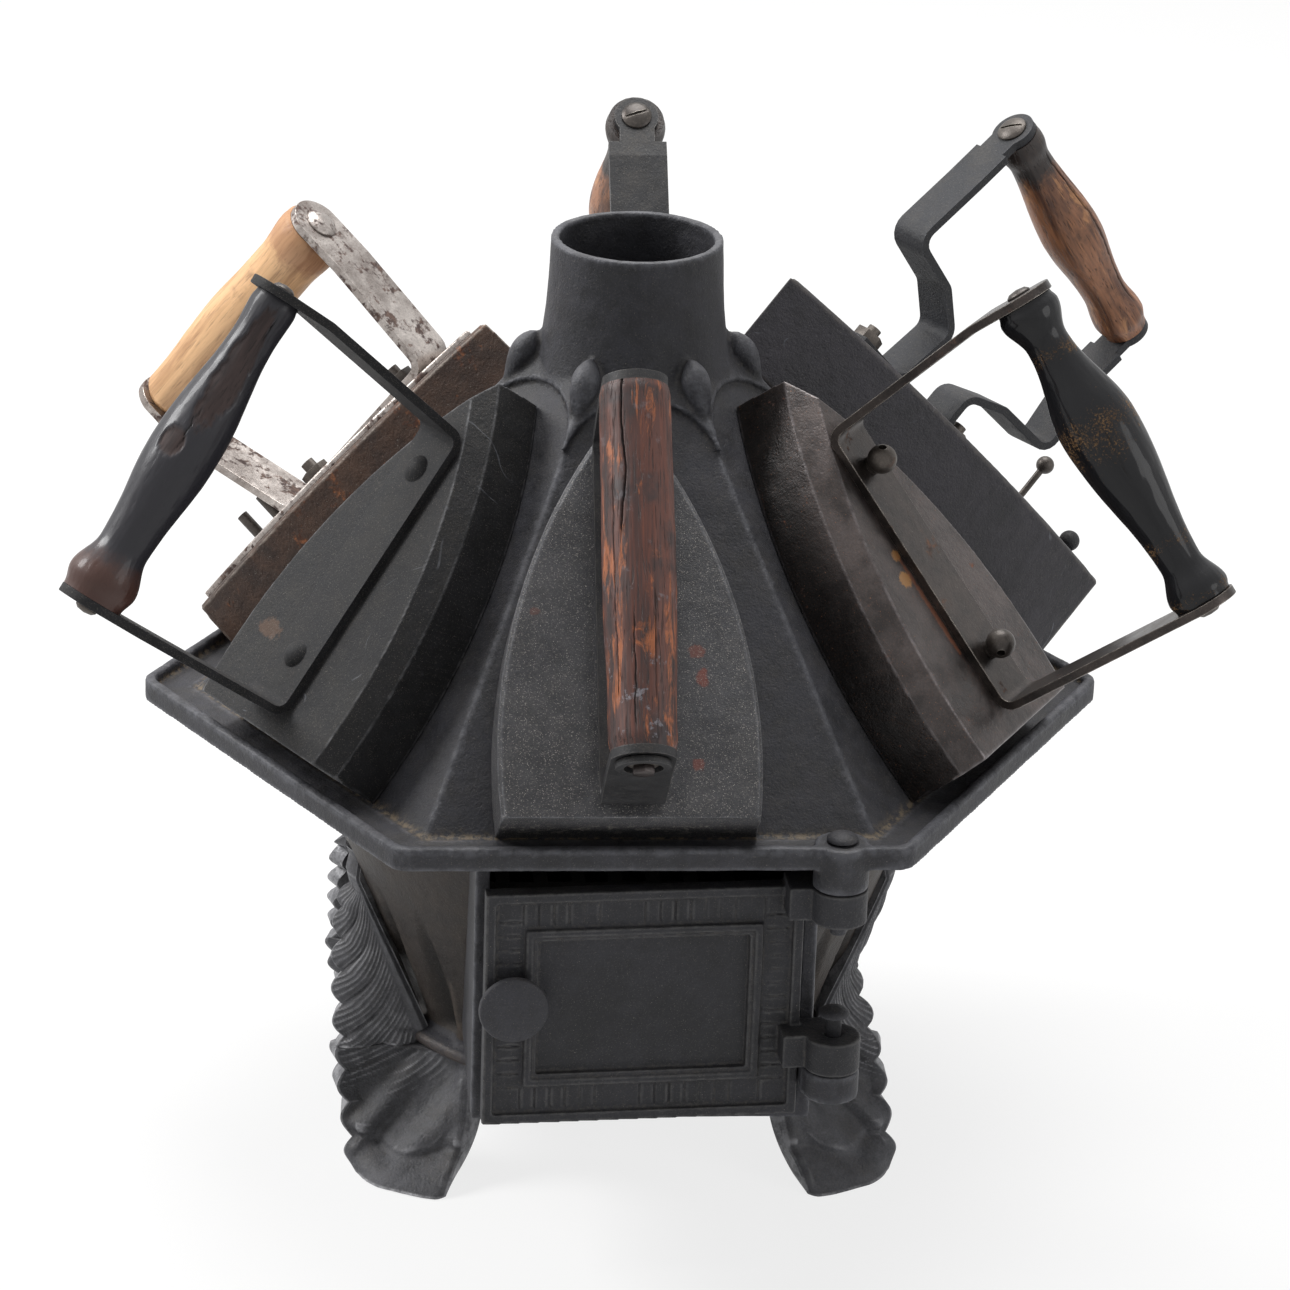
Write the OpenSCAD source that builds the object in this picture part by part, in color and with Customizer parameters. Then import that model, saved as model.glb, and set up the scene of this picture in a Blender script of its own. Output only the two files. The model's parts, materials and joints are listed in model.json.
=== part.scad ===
// A small cast-iron stove for heating flatirons. A six-sided hood with a flue
// collar stands on a tapered fire pot with a front mouth, a hinged door and four
// scalloped legs. Six flatirons lean on the hood with their heels in its trough.
// Millimetres. Origin on the floor under the flue's axis, door towards -Y, +Z up.

/* [Hood and ledge] */
// Height of the ledge's upper face above the floor
ledge_height = 184; // [150:1:230]
// Radius over the corners of the six-sided ledge
ledge_radius = 200; // [165:1:242]
// Corner radius of the ledge
ledge_corner = 9; // [3:1:18]
// Thickness of the ledge plate
ledge_plate = 5; // [4:0.5:8]
// Height of the rim above the ledge plate
rim_height = 4.5; // [3:0.5:8]
// Width of the rim
rim_width = 4.5; // [3:0.5:8]
// Width of the flat trough between rim and slope
trough_width = 15.5; // [12:0.5:24]
// Steepness of the six slopes in degrees
slope_angle = 51; // [48:0.5:54]
// Wall of the hood
hood_wall = 5; // [3.5:0.5:7]
// Depth of the arched panel heads in the collar's foot
arch_depth = 2.6; // [1:0.1:4]
// Distance of those heads from the collar, measured level
arch_gap = 4.8; // [3:0.2:8]
// Radius of the cast leaves between the arches
leaf_radius = 6; // [4:0.5:7.5]
// Length of a leaf
leaf_length = 34; // [24:1:42]
// Depth of the ring under the ledge that centres the hood in the pot
spigot_depth = 6; // [4:0.5:10]
// Thickness of that ring
spigot_wall = 5; // [4:0.5:8]

/* [Flue collar] */
// Height of the collar's rim above the ledge
collar_height = 197; // [180:1:225]
// Outer radius at the collar's rim
collar_radius = 34.8; // [31:0.1:40]
// Radius of the collar's bore
collar_bore = 31.4; // [26:0.1:34]
// Length of the collar's bore
bore_length = 55; // [45:1:56]
// How much wider the collar is at its foot than at its rim
collar_flare = 17; // [10:0.5:22]
// Height of the collar from its flared foot to its rim
collar_length = 76; // [65:1:85]

/* [Fire pot] */
// Outer radius of the pot under the ledge
pot_top_radius = 135; // [120:1:140]
// Outer radius of the pot above its base flange
pot_base_radius = 93.5; // [85:0.5:100]
// Depth of the pot below the ledge's upper face
pot_depth = 139; // [125:1:146]
// Wall of the pot
pot_wall = 6; // [4.5:0.5:9]
// How far the base flange stands out from the pot
flange_reach = 8; // [5:0.5:10]
// Thickness of the base flange
flange_thickness = 8; // [6:0.5:12]
// Thickness of the pot's floor
pot_floor = 6; // [5:0.5:8]
// Height of the cast drapery lobes above the flange
lobe_height = 44; // [30:1:50]
// Radius of a lobe at its foot
lobe_radius = 5; // [3:0.5:6]
// Height of the grate's bearers above the pot's floor
grate_rise = 34; // [26:1:46]
// Thickness of the grate
grate_thickness = 8; // [6:0.5:12]
// Gap all round the grate
grate_gap = 1.5; // [1:0.5:3]

/* [Mouth] */
// Outer width of the mouth's box
mouth_width = 136; // [126:1:146]
// Wall of the mouth's box
mouth_wall = 6; // [5:0.5:8]
// Distance of the mouth's front face behind the ledge's edge
mouth_inset = 23.2; // [17.2:0.5:28.2]
// Depth of the mouth's floor below the ledge's upper face
mouth_depth = 124; // [118:1:128]

/* [Fire door] */
// Width of the door
door_width = 126; // [120:1:132]
// Height of the door
door_height = 100; // [92:1:104]
// Drop of the door's top edge below the ledge's upper face
door_drop = 18; // [14:1:22]
// Thickness of the door plate
door_plate = 5; // [4:0.5:7]
// Height of the door's mouldings
moulding_rise = 2.2; // [1:0.1:3]
// Width of the door's outer moulding
moulding_width = 4; // [2:0.5:6]
// Width of the band of short flutes
flute_band = 12; // [8:0.5:16]
// Spacing of the flutes
flute_pitch = 6; // [5:0.5:9]
// Width of one flute
flute_width = 1.2; // [0.8:0.1:2]
// How far the door stands ajar in degrees
door_ajar = 4; // [0:0.5:8]
// Radius of the knob's disc
knob_radius = 14; // [10:0.5:16]
// How far the knob's face stands in front of the door plate
knob_reach = 15; // [12:0.5:20]

/* [Door hinge] */
// Distance of the hinge axis from the flue's axis, to the right
hinge_x = 74; // [72:0.5:77]
// Distance of the hinge axis behind the ledge's edge
hinge_inset = 7.2; // [5.2:0.5:10.2]
// Radius of the lugs and knuckles
knuckle_radius = 11; // [9:0.5:12]
// Radius of the hinge pins
pin_radius = 3.2; // [2.5:0.1:4]
// Running clearance round the hinge pins
pin_clearance = 0.08; // [0.03:0.01:0.1]
// Height of the upper lug, which hangs from the ledge
upper_lug = 19; // [15:0.5:21]
// Height of a door knuckle
knuckle_height = 14; // [10:0.5:16]
// Height of the lower lug
lower_lug = 12; // [8:0.5:16]
// Drop of the lower knuckle's top below the ledge's upper face
lower_knuckle_drop = 79; // [72:0.5:84]

/* [Legs] */
// Distance of the toe from the flue's axis
toe_radius = 138; // [130:1:150]
// Drop of the leg's top below the ledge's upper face
leg_top_drop = 62; // [50:1:70]
// Thickness of the leg's wing
wing_thickness = 7; // [5:0.5:9]
// Thickness of the foot
foot_thickness = 20; // [14:0.5:24]
// How far the left wings draw in from toe to top
left_draw = 19; // [10:1:40]
// How far the right wings draw in, closer to the pot than the left ones
right_draw = 58; // [10:1:64]
// Angle of the wing's root on the pot beside the leg's axis, at the pot's base
root_low = 12; // [9:1:16]
// The same angle at the top of the wing
root_high = 30; // [20:1:34]
// Angle of the scalloped margin beside the leg's axis, at the floor
margin_low = 10; // [8:1:13]
// Number of scallops down the wing's margin
scallops = 10; // [6:1:12]
// How far each scallop stands out
scallop_reach = 4; // [2:0.5:6]
// Depth of the folds over the foot
fold_depth = 2.4; // [1:0.1:3]
// Thickness of the leg's tongue under the pot
tongue = 9; // [7:0.5:12]
// Radius of the bolts that hold the legs
leg_bolt_radius = 4; // [3:0.5:5]
// Distance of those bolts from the flue's axis
leg_bolt_circle = 76; // [70:1:79]
// Height of those bolts' heads
leg_bolt_head = 5; // [4:0.5:6]
// Height of their nuts
leg_nut = 6; // [5:0.5:8]

/* [Flatirons] */
// Width of a flatiron's sole
iron_width = 105; // [86:1:112]
// Length of a flatiron's sole
iron_length = 170; // [150:1:178]
// Distance from the heel to the widest place of the sole
iron_belly = 24; // [15:1:40]
// Thickness of the front, back and left flatirons
iron_thickness = 31; // [25:1:38]
// Thickness of the front right flatiron
thick_iron = 35; // [28:1:40]
// Width of the handle straps
strap_width = 25; // [16:1:28]
// Thickness of the handle straps
strap_thickness = 3.6; // [3:0.1:5]
// Radius of the rods through the grips
rod_radius = 2.5; // [2:0.1:3.5]
// Radius of the rivets that hold the straps
rivet_radius = 3; // [2:0.1:4]
// Depth of the rivets in the iron
rivet_depth = 14; // [8:1:20]

/* [Handles] */
// Height of the front iron's grip above its sole
front_grip_height = 90; // [75:1:110]
// Height of the side irons' grips above their soles
side_grip_height = 132; // [100:1:145]
// Height of the back left iron's grip above its sole
back_left_grip_height = 106; // [90:1:125]
// Radius of the thickest grip at its middle
grip_radius = 16; // [13:0.5:18]

/* [Box iron] */
// Length of the box iron
box_length = 202; // [180:1:210]
// Width of the box iron
box_width = 94; // [80:1:104]
// Height of the box iron
box_height = 42; // [34:1:50]
// Wall of the box iron
box_wall = 6; // [4:0.5:8]
// How far the box iron's heel hangs past the rim
box_overhang = 18; // [10:1:24]
// Thickness of the lifting gate
gate_thickness = 4; // [3:0.5:5]
// Clearance of the gate in its grooves
gate_clearance = 0.4; // [0.2:0.1:0.6]
// How far the gate lifts
gate_lift = 30; // [20:1:34]
// Width of the box iron's brackets
bracket_width = 20; // [16:1:26]
// How far the front iron rests beside the middle of its slope
front_shift = -9.5; // [-14:0.5:14]
// How far the back iron rests beside the middle of its slope
back_shift = -11; // [-14:0.5:14]

/* [Hidden] */
$fn = 64;

// Colours, as the stove and its irons show them
BLACKED = [0.22, 0.22, 0.23];
SMOKED = [0.26, 0.24, 0.22];
GREY_IRON = [0.3, 0.3, 0.3];
RUSTED = [0.28, 0.2, 0.17];
STEEL = [0.42, 0.4, 0.38];
NICKEL = [0.72, 0.69, 0.65];
DARK_WOOD = [0.38, 0.2, 0.13];
LACQUER = [0.14, 0.13, 0.13];
PALE_WOOD = [0.72, 0.55, 0.38];
BROWN_WOOD = [0.48, 0.33, 0.23];

// Small gap that keeps curved neighbours apart
fit = 0.3;
// Overshoot of a cut past the face it opens
cut = 1;

ledge_apothem = ledge_radius * cos(30);
mouth_front = ledge_apothem - mouth_inset;
hinge_y = ledge_apothem - hinge_inset;
slope_foot = ledge_apothem - rim_width - trough_width;
pot_base = ledge_height - pot_depth;
pot_top = ledge_height - ledge_plate;
grate_bottom = pot_base + pot_floor + grate_rise;
mouth_bottom = ledge_height - mouth_depth;
door_top = ledge_height - door_drop;
door_right = hinge_x - knuckle_radius - 1;
leg_top = ledge_height - leg_top_drop;
spigot_radius = pot_top_radius - pot_wall - 3;

// Vertical stack of the hinge
lug_top = ledge_height + rim_height;
upper_knuckle_top = lug_top - upper_lug - fit;
lower_knuckle_top = ledge_height - lower_knuckle_drop;
lower_lug_top = lower_knuckle_top - knuckle_height - fit;

// ---------------------------------------------------------------- helpers

function lerp(a, b, t) = a + (b - a) * t;
function unit(v) = v / norm(v);
function left_of(v) = [-v[1], v[0]];

// Arc that rounds the corner b between a and c to radius r in n steps
function corner_arc(a, b, c, r, n) =
  let (u = unit(a - b), v = unit(c - b))
  let (half = acos(u * v) / 2)
  let (centre = b + unit(u + v) * r / sin(half))
  let (s = b + u * r / tan(half) - centre)
  let (turn = (u[0] * v[1] - u[1] * v[0] > 0 ? -1 : 1) * (180 - 2 * half))
  [for (k = [0:n]) centre + [
    s[0] * cos(turn * k / n) - s[1] * sin(turn * k / n),
    s[0] * sin(turn * k / n) + s[1] * cos(turn * k / n)]];

// A line through points p whose inner corners are rounded to radius r
function rounded_line(p, r, n = 5) = [
  for (i = [0:len(p) - 1])
    each (i == 0 || i == len(p) - 1 ? [p[i]] : corner_arc(p[i - 1], p[i], p[i + 1], r, n))];

// Direction square to a line at its point i
function square_to(p, i) =
  let (a = p[max(i - 1, 0)], b = p[min(i + 1, len(p) - 1)])
  left_of(unit(b - a));

// Outline of a bar of thickness t that follows a line
function bar_outline(p, t) = concat(
  [for (i = [0:len(p) - 1]) p[i] + square_to(p, i) * t / 2],
  [for (i = [len(p) - 1:-1:0]) p[i] - square_to(p, i) * t / 2]);

// A bar bent in the upright plane along the iron, width w across it
module bent_bar(p, t, w, r = 6) {
  rotate([90, 0, 90])
    translate([0, 0, -w / 2])
      linear_extrude(w)
        polygon(bar_outline(rounded_line(p, r), t));
}

// Six-sided outline with one flat side to the front and round corners
function hexagon(radius, corner) = [
  for (k = [0:5])
    let (a = 60 * k, c = (radius - corner / cos(30)) * [cos(a), sin(a)])
    for (s = [-30:15:30]) c + corner * [cos(a + s), sin(a + s)]];

// Puts its children on slope k, counted anticlockwise from the front: +Y runs up
// the slope from the heel line, +Z stands out of it
module on_slope(k) {
  rotate([0, 0, 60 * k])
    translate([0, -slope_foot, ledge_height])
      rotate([slope_angle, 0, 0])
        children();
}

// Everything that lies under all six slopes, raised by the given amount
module under_slopes(raise) {
  reach = 3 * ledge_radius;
  intersection_for (k = [0:5])
    on_slope(k)
      translate([-reach / 2, -reach / 2, -reach])
        cube([reach, reach, reach + raise]);
}

// ---------------------------------------------------------------- stove

// Half width of a slope at the distance y up from its foot
function slope_half(y) = (slope_foot - y * cos(slope_angle)) * tan(30);

// Panel that fills a slope from hip to hip, with a round head that touches both
module panel_outline() {
  past = 4;
  lean = atan(cos(slope_angle) * tan(30));
  spread = tan(30) * cos(lean);
  crest = (slope_foot - collar_radius - arch_gap) / cos(slope_angle);
  radius = (collar_radius + arch_gap) * spread / (1 - cos(slope_angle) * spread);
  touch = crest - radius + radius * sin(lean);
  union() {
    polygon([[-slope_half(-cut) - past, -cut], [slope_half(-cut) + past, -cut],
      [slope_half(touch) + past, touch], [-slope_half(touch) - past, touch]]);
    translate([0, crest - radius])
      circle(r = radius, $fn = 96);
  }
}

// Cast leaves on the hips between the arches: each is a drop whose point runs
// down the hip and whose round head lies on the collar's foot
module hip_leaves() {
  steps = 16;
  drop = [for (i = [0:steps]) let (t = i / steps)
    [leaf_radius * pow(sin(180 * pow(t, 1.8)), 0.8), leaf_length * t]];
  level = ledge_height + collar_height - collar_length + 6;
  hip_radius = (slope_foot - (level - ledge_height) / tan(slope_angle)) / cos(30);
  for (k = [0:5])
    rotate([0, 0, 60 * k])
      translate([hip_radius - leaf_radius / 2, 0, level])
        rotate([0, slope_angle - 90 + 12, 0])
          rotate_extrude()
            polygon(drop);
}

// Outer line of the collar, flared to its foot by a quarter sine
function collar_line() = [
  for (k = [0:10])
    let (t = k / 10)
    [collar_radius + 3 * (1 - t) + (collar_flare - 3) * pow(1 - t, 4),
      ledge_height + collar_height - collar_length * (1 - t)]];

module collar() {
  line = collar_line();
  rotate_extrude()
    polygon(concat([[0, line[0][1]]], line, [[0, ledge_height + collar_height]]));
}

module hood() {
  color(BLACKED)
  difference() {
    union() {
      // ledge with its upstanding rim
      difference() {
        translate([0, 0, ledge_height - ledge_plate])
          linear_extrude(ledge_plate + rim_height)
            polygon(hexagon(ledge_radius, ledge_corner));
        translate([0, 0, ledge_height])
          linear_extrude(rim_height + cut)
            polygon(hexagon(ledge_radius - rim_width / cos(30), ledge_corner - 2));
      }
      // six slopes with the collar on top, and the arched panels cut into both
      difference() {
        union() {
          intersection() {
            under_slopes(arch_depth);
            translate([0, 0, ledge_height - 1])
              cylinder(r = ledge_radius - rim_width - trough_width, h = collar_height - collar_length * 0.5);
          }
          collar();
        }
        for (k = [0:5])
          on_slope(k)
            linear_extrude(4 * arch_depth)
              panel_outline();
      }
      hip_leaves();
      // ring that centres the hood in the pot
      translate([0, 0, pot_top - spigot_depth])
        cylinder(r = spigot_radius, h = spigot_depth + 1);
      // upper hinge lug, cast on the ledge
      translate([hinge_x, -hinge_y, lug_top - upper_lug])
        cylinder(r = knuckle_radius, h = upper_lug);
    }
    // hollow under the slopes
    intersection() {
      under_slopes(-hood_wall);
      translate([0, 0, pot_top - spigot_depth - cut])
        cylinder(r = spigot_radius - spigot_wall,
          h = ledge_plate + spigot_depth + cut + collar_height - bore_length);
    }
    // bore of the collar
    translate([0, 0, ledge_height + collar_height - bore_length - cut])
      cylinder(r = collar_bore, h = bore_length + 2 * cut);
    // hole of the upper hinge pin
    translate([hinge_x, -hinge_y, lug_top - upper_lug - cut])
      cylinder(r = pin_radius + pin_clearance, h = upper_lug + 2 * cut);
  }
}

// Outer radius of the pot's wall at height z
function pot_radius(z) =
  lerp(pot_base_radius, pot_top_radius, (z - pot_base - flange_thickness) / (pot_top - pot_base - flange_thickness));

// Outside of the pot with its base flange, grown by the given amount
module pot_outside(grow = 0) {
  flange = pot_base_radius + flange_reach + grow;
  neck = pot_base + flange_thickness + grow;
  rotate_extrude($fn = 96)
    polygon([[0, pot_base - grow], [flange - 2, pot_base - grow], [flange, pot_base + 2],
      [flange, neck - 3], [pot_base_radius + grow, neck],
      [pot_top_radius + grow, pot_top], [0, pot_top]]);
}

// Cast drapery lobes low on the pot, left out at the mouth and behind the legs
module pot_lobes() {
  lean = atan((pot_top_radius - pot_base_radius) / (pot_top - pot_base - flange_thickness));
  for (a = [45:10:315])
    if (!behind_wing(a))
      rotate([0, 0, a - 90])
        translate([pot_base_radius - 2, 0, pot_base + flange_thickness - 1])
          rotate([0, lean, 0])
            cylinder(r1 = lobe_radius, r2 = 1, h = lobe_height, $fn = 20);
}

// True where a leg's wing lies against the pot, at the angle a from the front
function behind_wing(a) =
  let (q = min(a, 360 - a))
  (q > 48 && q < 72) || (q > 108 && q < 132);

module fire_pot() {
  inner_top = pot_top_radius - pot_wall;
  inner_base = pot_base_radius - pot_wall;
  bearer = pot_radius(grate_bottom) - pot_wall;
  color(SMOKED)
  difference() {
    union() {
      difference() {
        union() {
          pot_outside();
          pot_lobes();
        }
        // inside of the pot
        translate([0, 0, pot_base + pot_floor])
          cylinder(r1 = inner_base - 1, r2 = inner_top, h = pot_top - pot_base - pot_floor + 0.01, $fn = 96);
      }
      // four bearers for the grate
      intersection() {
        pot_outside();
        for (a = [0:90:270])
          rotate([0, 0, a])
            translate([bearer - 10, -8, grate_bottom - 6])
              cube([16, 16, 6]);
      }
    }
    translate([0, 0, pot_top])
      cylinder(r = 2 * pot_top_radius, h = 10);
    // way through to the mouth
    translate([-mouth_width / 2 + mouth_wall, -2 * pot_top_radius, mouth_bottom + mouth_wall])
      cube([mouth_width - 2 * mouth_wall, 2 * pot_top_radius - 50, pot_top - mouth_bottom]);
    for (a = [45:90:315])
      rotate([0, 0, a])
        translate([leg_bolt_circle, 0, pot_base - cut])
          cylinder(r = leg_bolt_radius + fit, h = pot_floor + 2 * cut);
  }
}

module mouth_box() {
  inner = mouth_width - 2 * mouth_wall;
  color(BLACKED)
  difference() {
    union() {
      translate([-mouth_width / 2, -mouth_front, mouth_bottom])
        cube([mouth_width, mouth_front - 55, pot_top - mouth_bottom]);
      // arm and eye of the lower hinge lug
      translate([hinge_x, -hinge_y, lower_lug_top - lower_lug])
        cylinder(r = knuckle_radius, h = lower_lug);
      translate([mouth_width / 2 - mouth_wall, -hinge_y, lower_lug_top - lower_lug])
        cube([hinge_x + knuckle_radius - 4 - mouth_width / 2 + mouth_wall, hinge_y - mouth_front + 8, lower_lug]);
    }
    translate([-inner / 2, -mouth_front - cut, mouth_bottom + mouth_wall])
      cube([inner, mouth_front, pot_top - mouth_bottom]);
    pot_outside(fit);
    pot_lobes();
    // hole of the lower hinge pin
    translate([hinge_x, -hinge_y, lower_lug_top - lower_lug - cut])
      cylinder(r = pin_radius + pin_clearance, h = lower_lug + 2 * cut);
  }
}

module grate() {
  radius = pot_radius(grate_bottom) - pot_wall - grate_gap - 1.5;
  ring = 9;
  bar = 6;
  pitch = 16;
  color(SMOKED)
  translate([0, 0, grate_bottom])
  union() {
    difference() {
      cylinder(r = radius, h = grate_thickness, $fn = 96);
      translate([0, 0, -cut])
        cylinder(r = radius - ring, h = grate_thickness + 2 * cut, $fn = 96);
    }
    intersection() {
      cylinder(r = radius - 1, h = grate_thickness, $fn = 96);
      union() {
        for (x = [-4 * pitch:pitch:4 * pitch])
          translate([x - bar / 2, -radius, 0])
            cube([bar, 2 * radius, grate_thickness]);
        translate([-radius, -bar / 2, 0])
          cube([2 * radius, bar, grate_thickness]);
      }
    }
  }
}

// ---------------------------------------------------------------- legs

// Three guide points of the leg's plan at height z, as [across, outwards]: the
// inner edge, the ridge and the scalloped margin
function from_axis(angle, radius) = radius * [sin(angle), cos(angle)];
function splay(from, to, z) = from + (to - from) * pow(1 - z / pot_base, 1.5);
function root_angle(z) =
  root_low + (root_high - root_low) * pow(max(0, z - pot_base) / (leg_top - pot_base), 1.3);
function leg_inner(z) =
  z < pot_base
    ? [lerp(-22, -4, z / pot_base), splay(pot_base_radius + 4, toe_radius - 9, z)]
    : from_axis(root_angle(z), pot_radius(z) + 2.5);
function leg_margin(z, draw) =
  let (t = z / leg_top, crest = pow(max(0, t - 0.86) / 0.14, 2))
  from_axis(lerp(margin_low, root_high + 6, t),
    max(toe_radius - 1 - draw * pow(t, 1.1) - 5 * crest, pot_radius(z) + 4.5));
function leg_ridge(z, draw) =
  z < pot_base
    ? [lerp(3, 23, z / pot_base), splay(pot_base_radius + 7, toe_radius + 1, z)]
    : let (a = leg_inner(z), m = leg_margin(z, draw)) (a + m) / 2 + 1.5 * left_of(unit(m - a));

// Point of the leg's plan curve, u from the inner edge to the margin
function leg_curve(u, z, draw) =
  let (a = leg_inner(z), k = leg_ridge(z, draw), m = leg_margin(z, draw))
  let (c = 2 * k - (a + m) / 2)
  (1 - u) * (1 - u) * a + 2 * u * (1 - u) * c + u * u * m;
function leg_along(u, z, draw) =
  unit(leg_curve(min(u + 0.05, 1), z, draw) - leg_curve(max(u - 0.05, 0), z, draw));

// Scallops on the margin, slanting folds over the foot, and the wall's depth
function scallop(z) = scallop_reach * (abs(sin(180 * scallops * z / leg_top)) - 0.4);
function fold(u, z) =
  fold_depth * max(0, 1 - z / (1.15 * pot_base)) * sin(360 * (1.7 * u + 1.4 * z / pot_base));
function leg_depth(z) = lerp(foot_thickness, wing_thickness, min(1, pow(z / pot_base, 0.6)));

// Point of the leg's skin at the given depth behind its plan curve
function leg_point(u, z, depth, draw) =
  let (d = leg_along(u, z, draw))
  let (p = leg_curve(u, z, draw) + d * scallop(z) * pow(u, 5) - left_of(d) * depth)
  [p[0], p[1], z];

leg_columns = 8;
leg_rows = 4 * scallops;

module leg_shell(draw) {
  w = leg_columns + 1;
  side = w * (leg_rows + 1);
  us = [for (i = [0:leg_columns]) i / leg_columns];
  zs = [for (j = [0:leg_rows]) leg_top * j / leg_rows];
  front = [for (z = zs, u = us) leg_point(u, z, -fold(u, z), draw)];
  rear = [for (z = zs, u = us) leg_point(u, z, leg_depth(z), draw)];
  front_faces = [for (j = [0:leg_rows - 1], i = [0:leg_columns - 1], h = [0, 1])
    let (a = j * w + i) h == 0 ? [a, a + 1, a + w] : [a + 1, a + w + 1, a + w]];
  rear_faces = [for (f = front_faces) [f[2] + side, f[1] + side, f[0] + side]];
  rim = concat(
    [for (i = [0:leg_columns - 1]) [i, i + 1]],
    [for (j = [0:leg_rows - 1]) [j * w + leg_columns, (j + 1) * w + leg_columns]],
    [for (i = [leg_columns:-1:1]) [leg_rows * w + i, leg_rows * w + i - 1]],
    [for (j = [leg_rows:-1:1]) [j * w, (j - 1) * w]]);
  rim_faces = [for (e = rim, h = [0, 1])
    h == 0 ? [e[0], e[0] + side, e[1]] : [e[1], e[0] + side, e[1] + side]];
  polyhedron(points = concat(front, rear), faces = concat(front_faces, rear_faces, rim_faces));
}

// One leg with its wing towards +X of its own frame, bolted up under the pot
module leg(draw) {
  width = 26;
  reach = pot_base_radius + flange_reach + 6 - leg_bolt_circle;
  color(BLACKED)
  difference() {
    union() {
      leg_shell(draw);
      translate([4 - width / 2, leg_bolt_circle - width / 2 + 1, pot_base - tongue])
        cube([width, reach, tongue]);
    }
    pot_outside(fit / 3);
    translate([0, leg_bolt_circle, pot_base - tongue - cut])
      cylinder(r = leg_bolt_radius + fit, h = tongue + 2 * cut);
  }
}

// Left legs are the mirror image of right ones, so that every wing turns
// away from the door or the back
module leg_front(draw) { rotate([0, 0, -135]) mirror([1, 0, 0]) leg(draw); }
module leg_back(draw) { rotate([0, 0, -45]) leg(draw); }
module leg_front_right() { leg_front(right_draw); }
module leg_back_right() { leg_back(right_draw); }
module leg_back_left() { mirror([1, 0, 0]) leg_back(left_draw); }
module leg_front_left() { mirror([1, 0, 0]) leg_front(left_draw); }

// Puts its children at the four leg bolts, at height z
module at_leg_bolts(z) {
  for (a = [45:90:315])
    rotate([0, 0, a])
      translate([leg_bolt_circle, 0, z])
        children();
}

module leg_bolts() {
  color(STEEL)
  at_leg_bolts(pot_base - tongue - leg_bolt_head)
    union() {
      cylinder(r = leg_bolt_radius, h = leg_bolt_head + tongue + pot_floor + leg_nut + 4);
      cylinder(r = leg_bolt_radius + 3, h = leg_bolt_head, $fn = 6);
    }
}

module leg_nuts() {
  color(STEEL)
  at_leg_bolts(pot_base + pot_floor)
    difference() {
      cylinder(r = leg_bolt_radius + 3, h = leg_nut, $fn = 6);
      translate([0, 0, -cut])
        cylinder(r = leg_bolt_radius + 0.05, h = leg_nut + 2 * cut);
    }
}

// ---------------------------------------------------------------- door

// Pin that hangs from a domed head
module hinge_pin(length) {
  head = 2 * pin_radius;
  translate([0, 0, -length])
    cylinder(r = pin_radius, h = length + 1);
  rotate_extrude()
    polygon(concat([[0, 0]], [for (a = [0:15:90]) [head * cos(a), 0.8 + 3.2 * sin(a)]], [[0, 4]]));
}

module upper_hinge_pin() {
  color(BLACKED)
  translate([hinge_x, -hinge_y, lug_top])
    hinge_pin(lug_top - upper_knuckle_top + knuckle_height + 6);
}

module lower_hinge_pin() {
  stand = 8;
  color(BLACKED)
  translate([hinge_x, -hinge_y, lower_knuckle_top + stand])
    hinge_pin(stand + knuckle_height + lower_lug + 2);
}

// Puts a piece of the closed door in its place, ajar
module swung() {
  translate([hinge_x, -hinge_y, 0])
    rotate([0, 0, door_ajar])
      translate([-hinge_x, hinge_y, 0])
        children();
}

module door_knuckle(top) {
  translate([hinge_x, -hinge_y, top - knuckle_height])
    cylinder(r = knuckle_radius, h = knuckle_height);
  translate([door_right - 8, -hinge_y - 1, top - knuckle_height])
    cube([hinge_x - door_right + 8, hinge_y - mouth_front - fit + 1, knuckle_height]);
}

// Rectangle about the door's centre, drawn in by the given amount
module door_field(inset) {
  translate([inset, inset])
    square([door_width - 2 * inset, door_height - 2 * inset]);
}

// A moulding that runs round the door between two insets
module moulding(outer, inner, from, to) {
  translate([0, 0, from])
    linear_extrude(to - from)
      difference() {
        door_field(outer);
        door_field(inner);
      }
}

module door_flutes() {
  start = moulding_width + 1;
  for (x = [flute_pitch * 2.5:flute_pitch:door_width - flute_pitch * 2])
    for (y = [start, door_height - start - flute_band + 2])
      translate([x - flute_width / 2, y, door_plate - 0.8])
        cube([flute_width, flute_band - 2, 2]);
  for (y = [flute_pitch * 2.5:flute_pitch:door_height - flute_pitch * 2])
    for (x = [start, door_width - start - flute_band + 2])
      translate([x, y - flute_width / 2, door_plate - 0.8])
        cube([flute_band - 2, flute_width, 2]);
}

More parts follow.
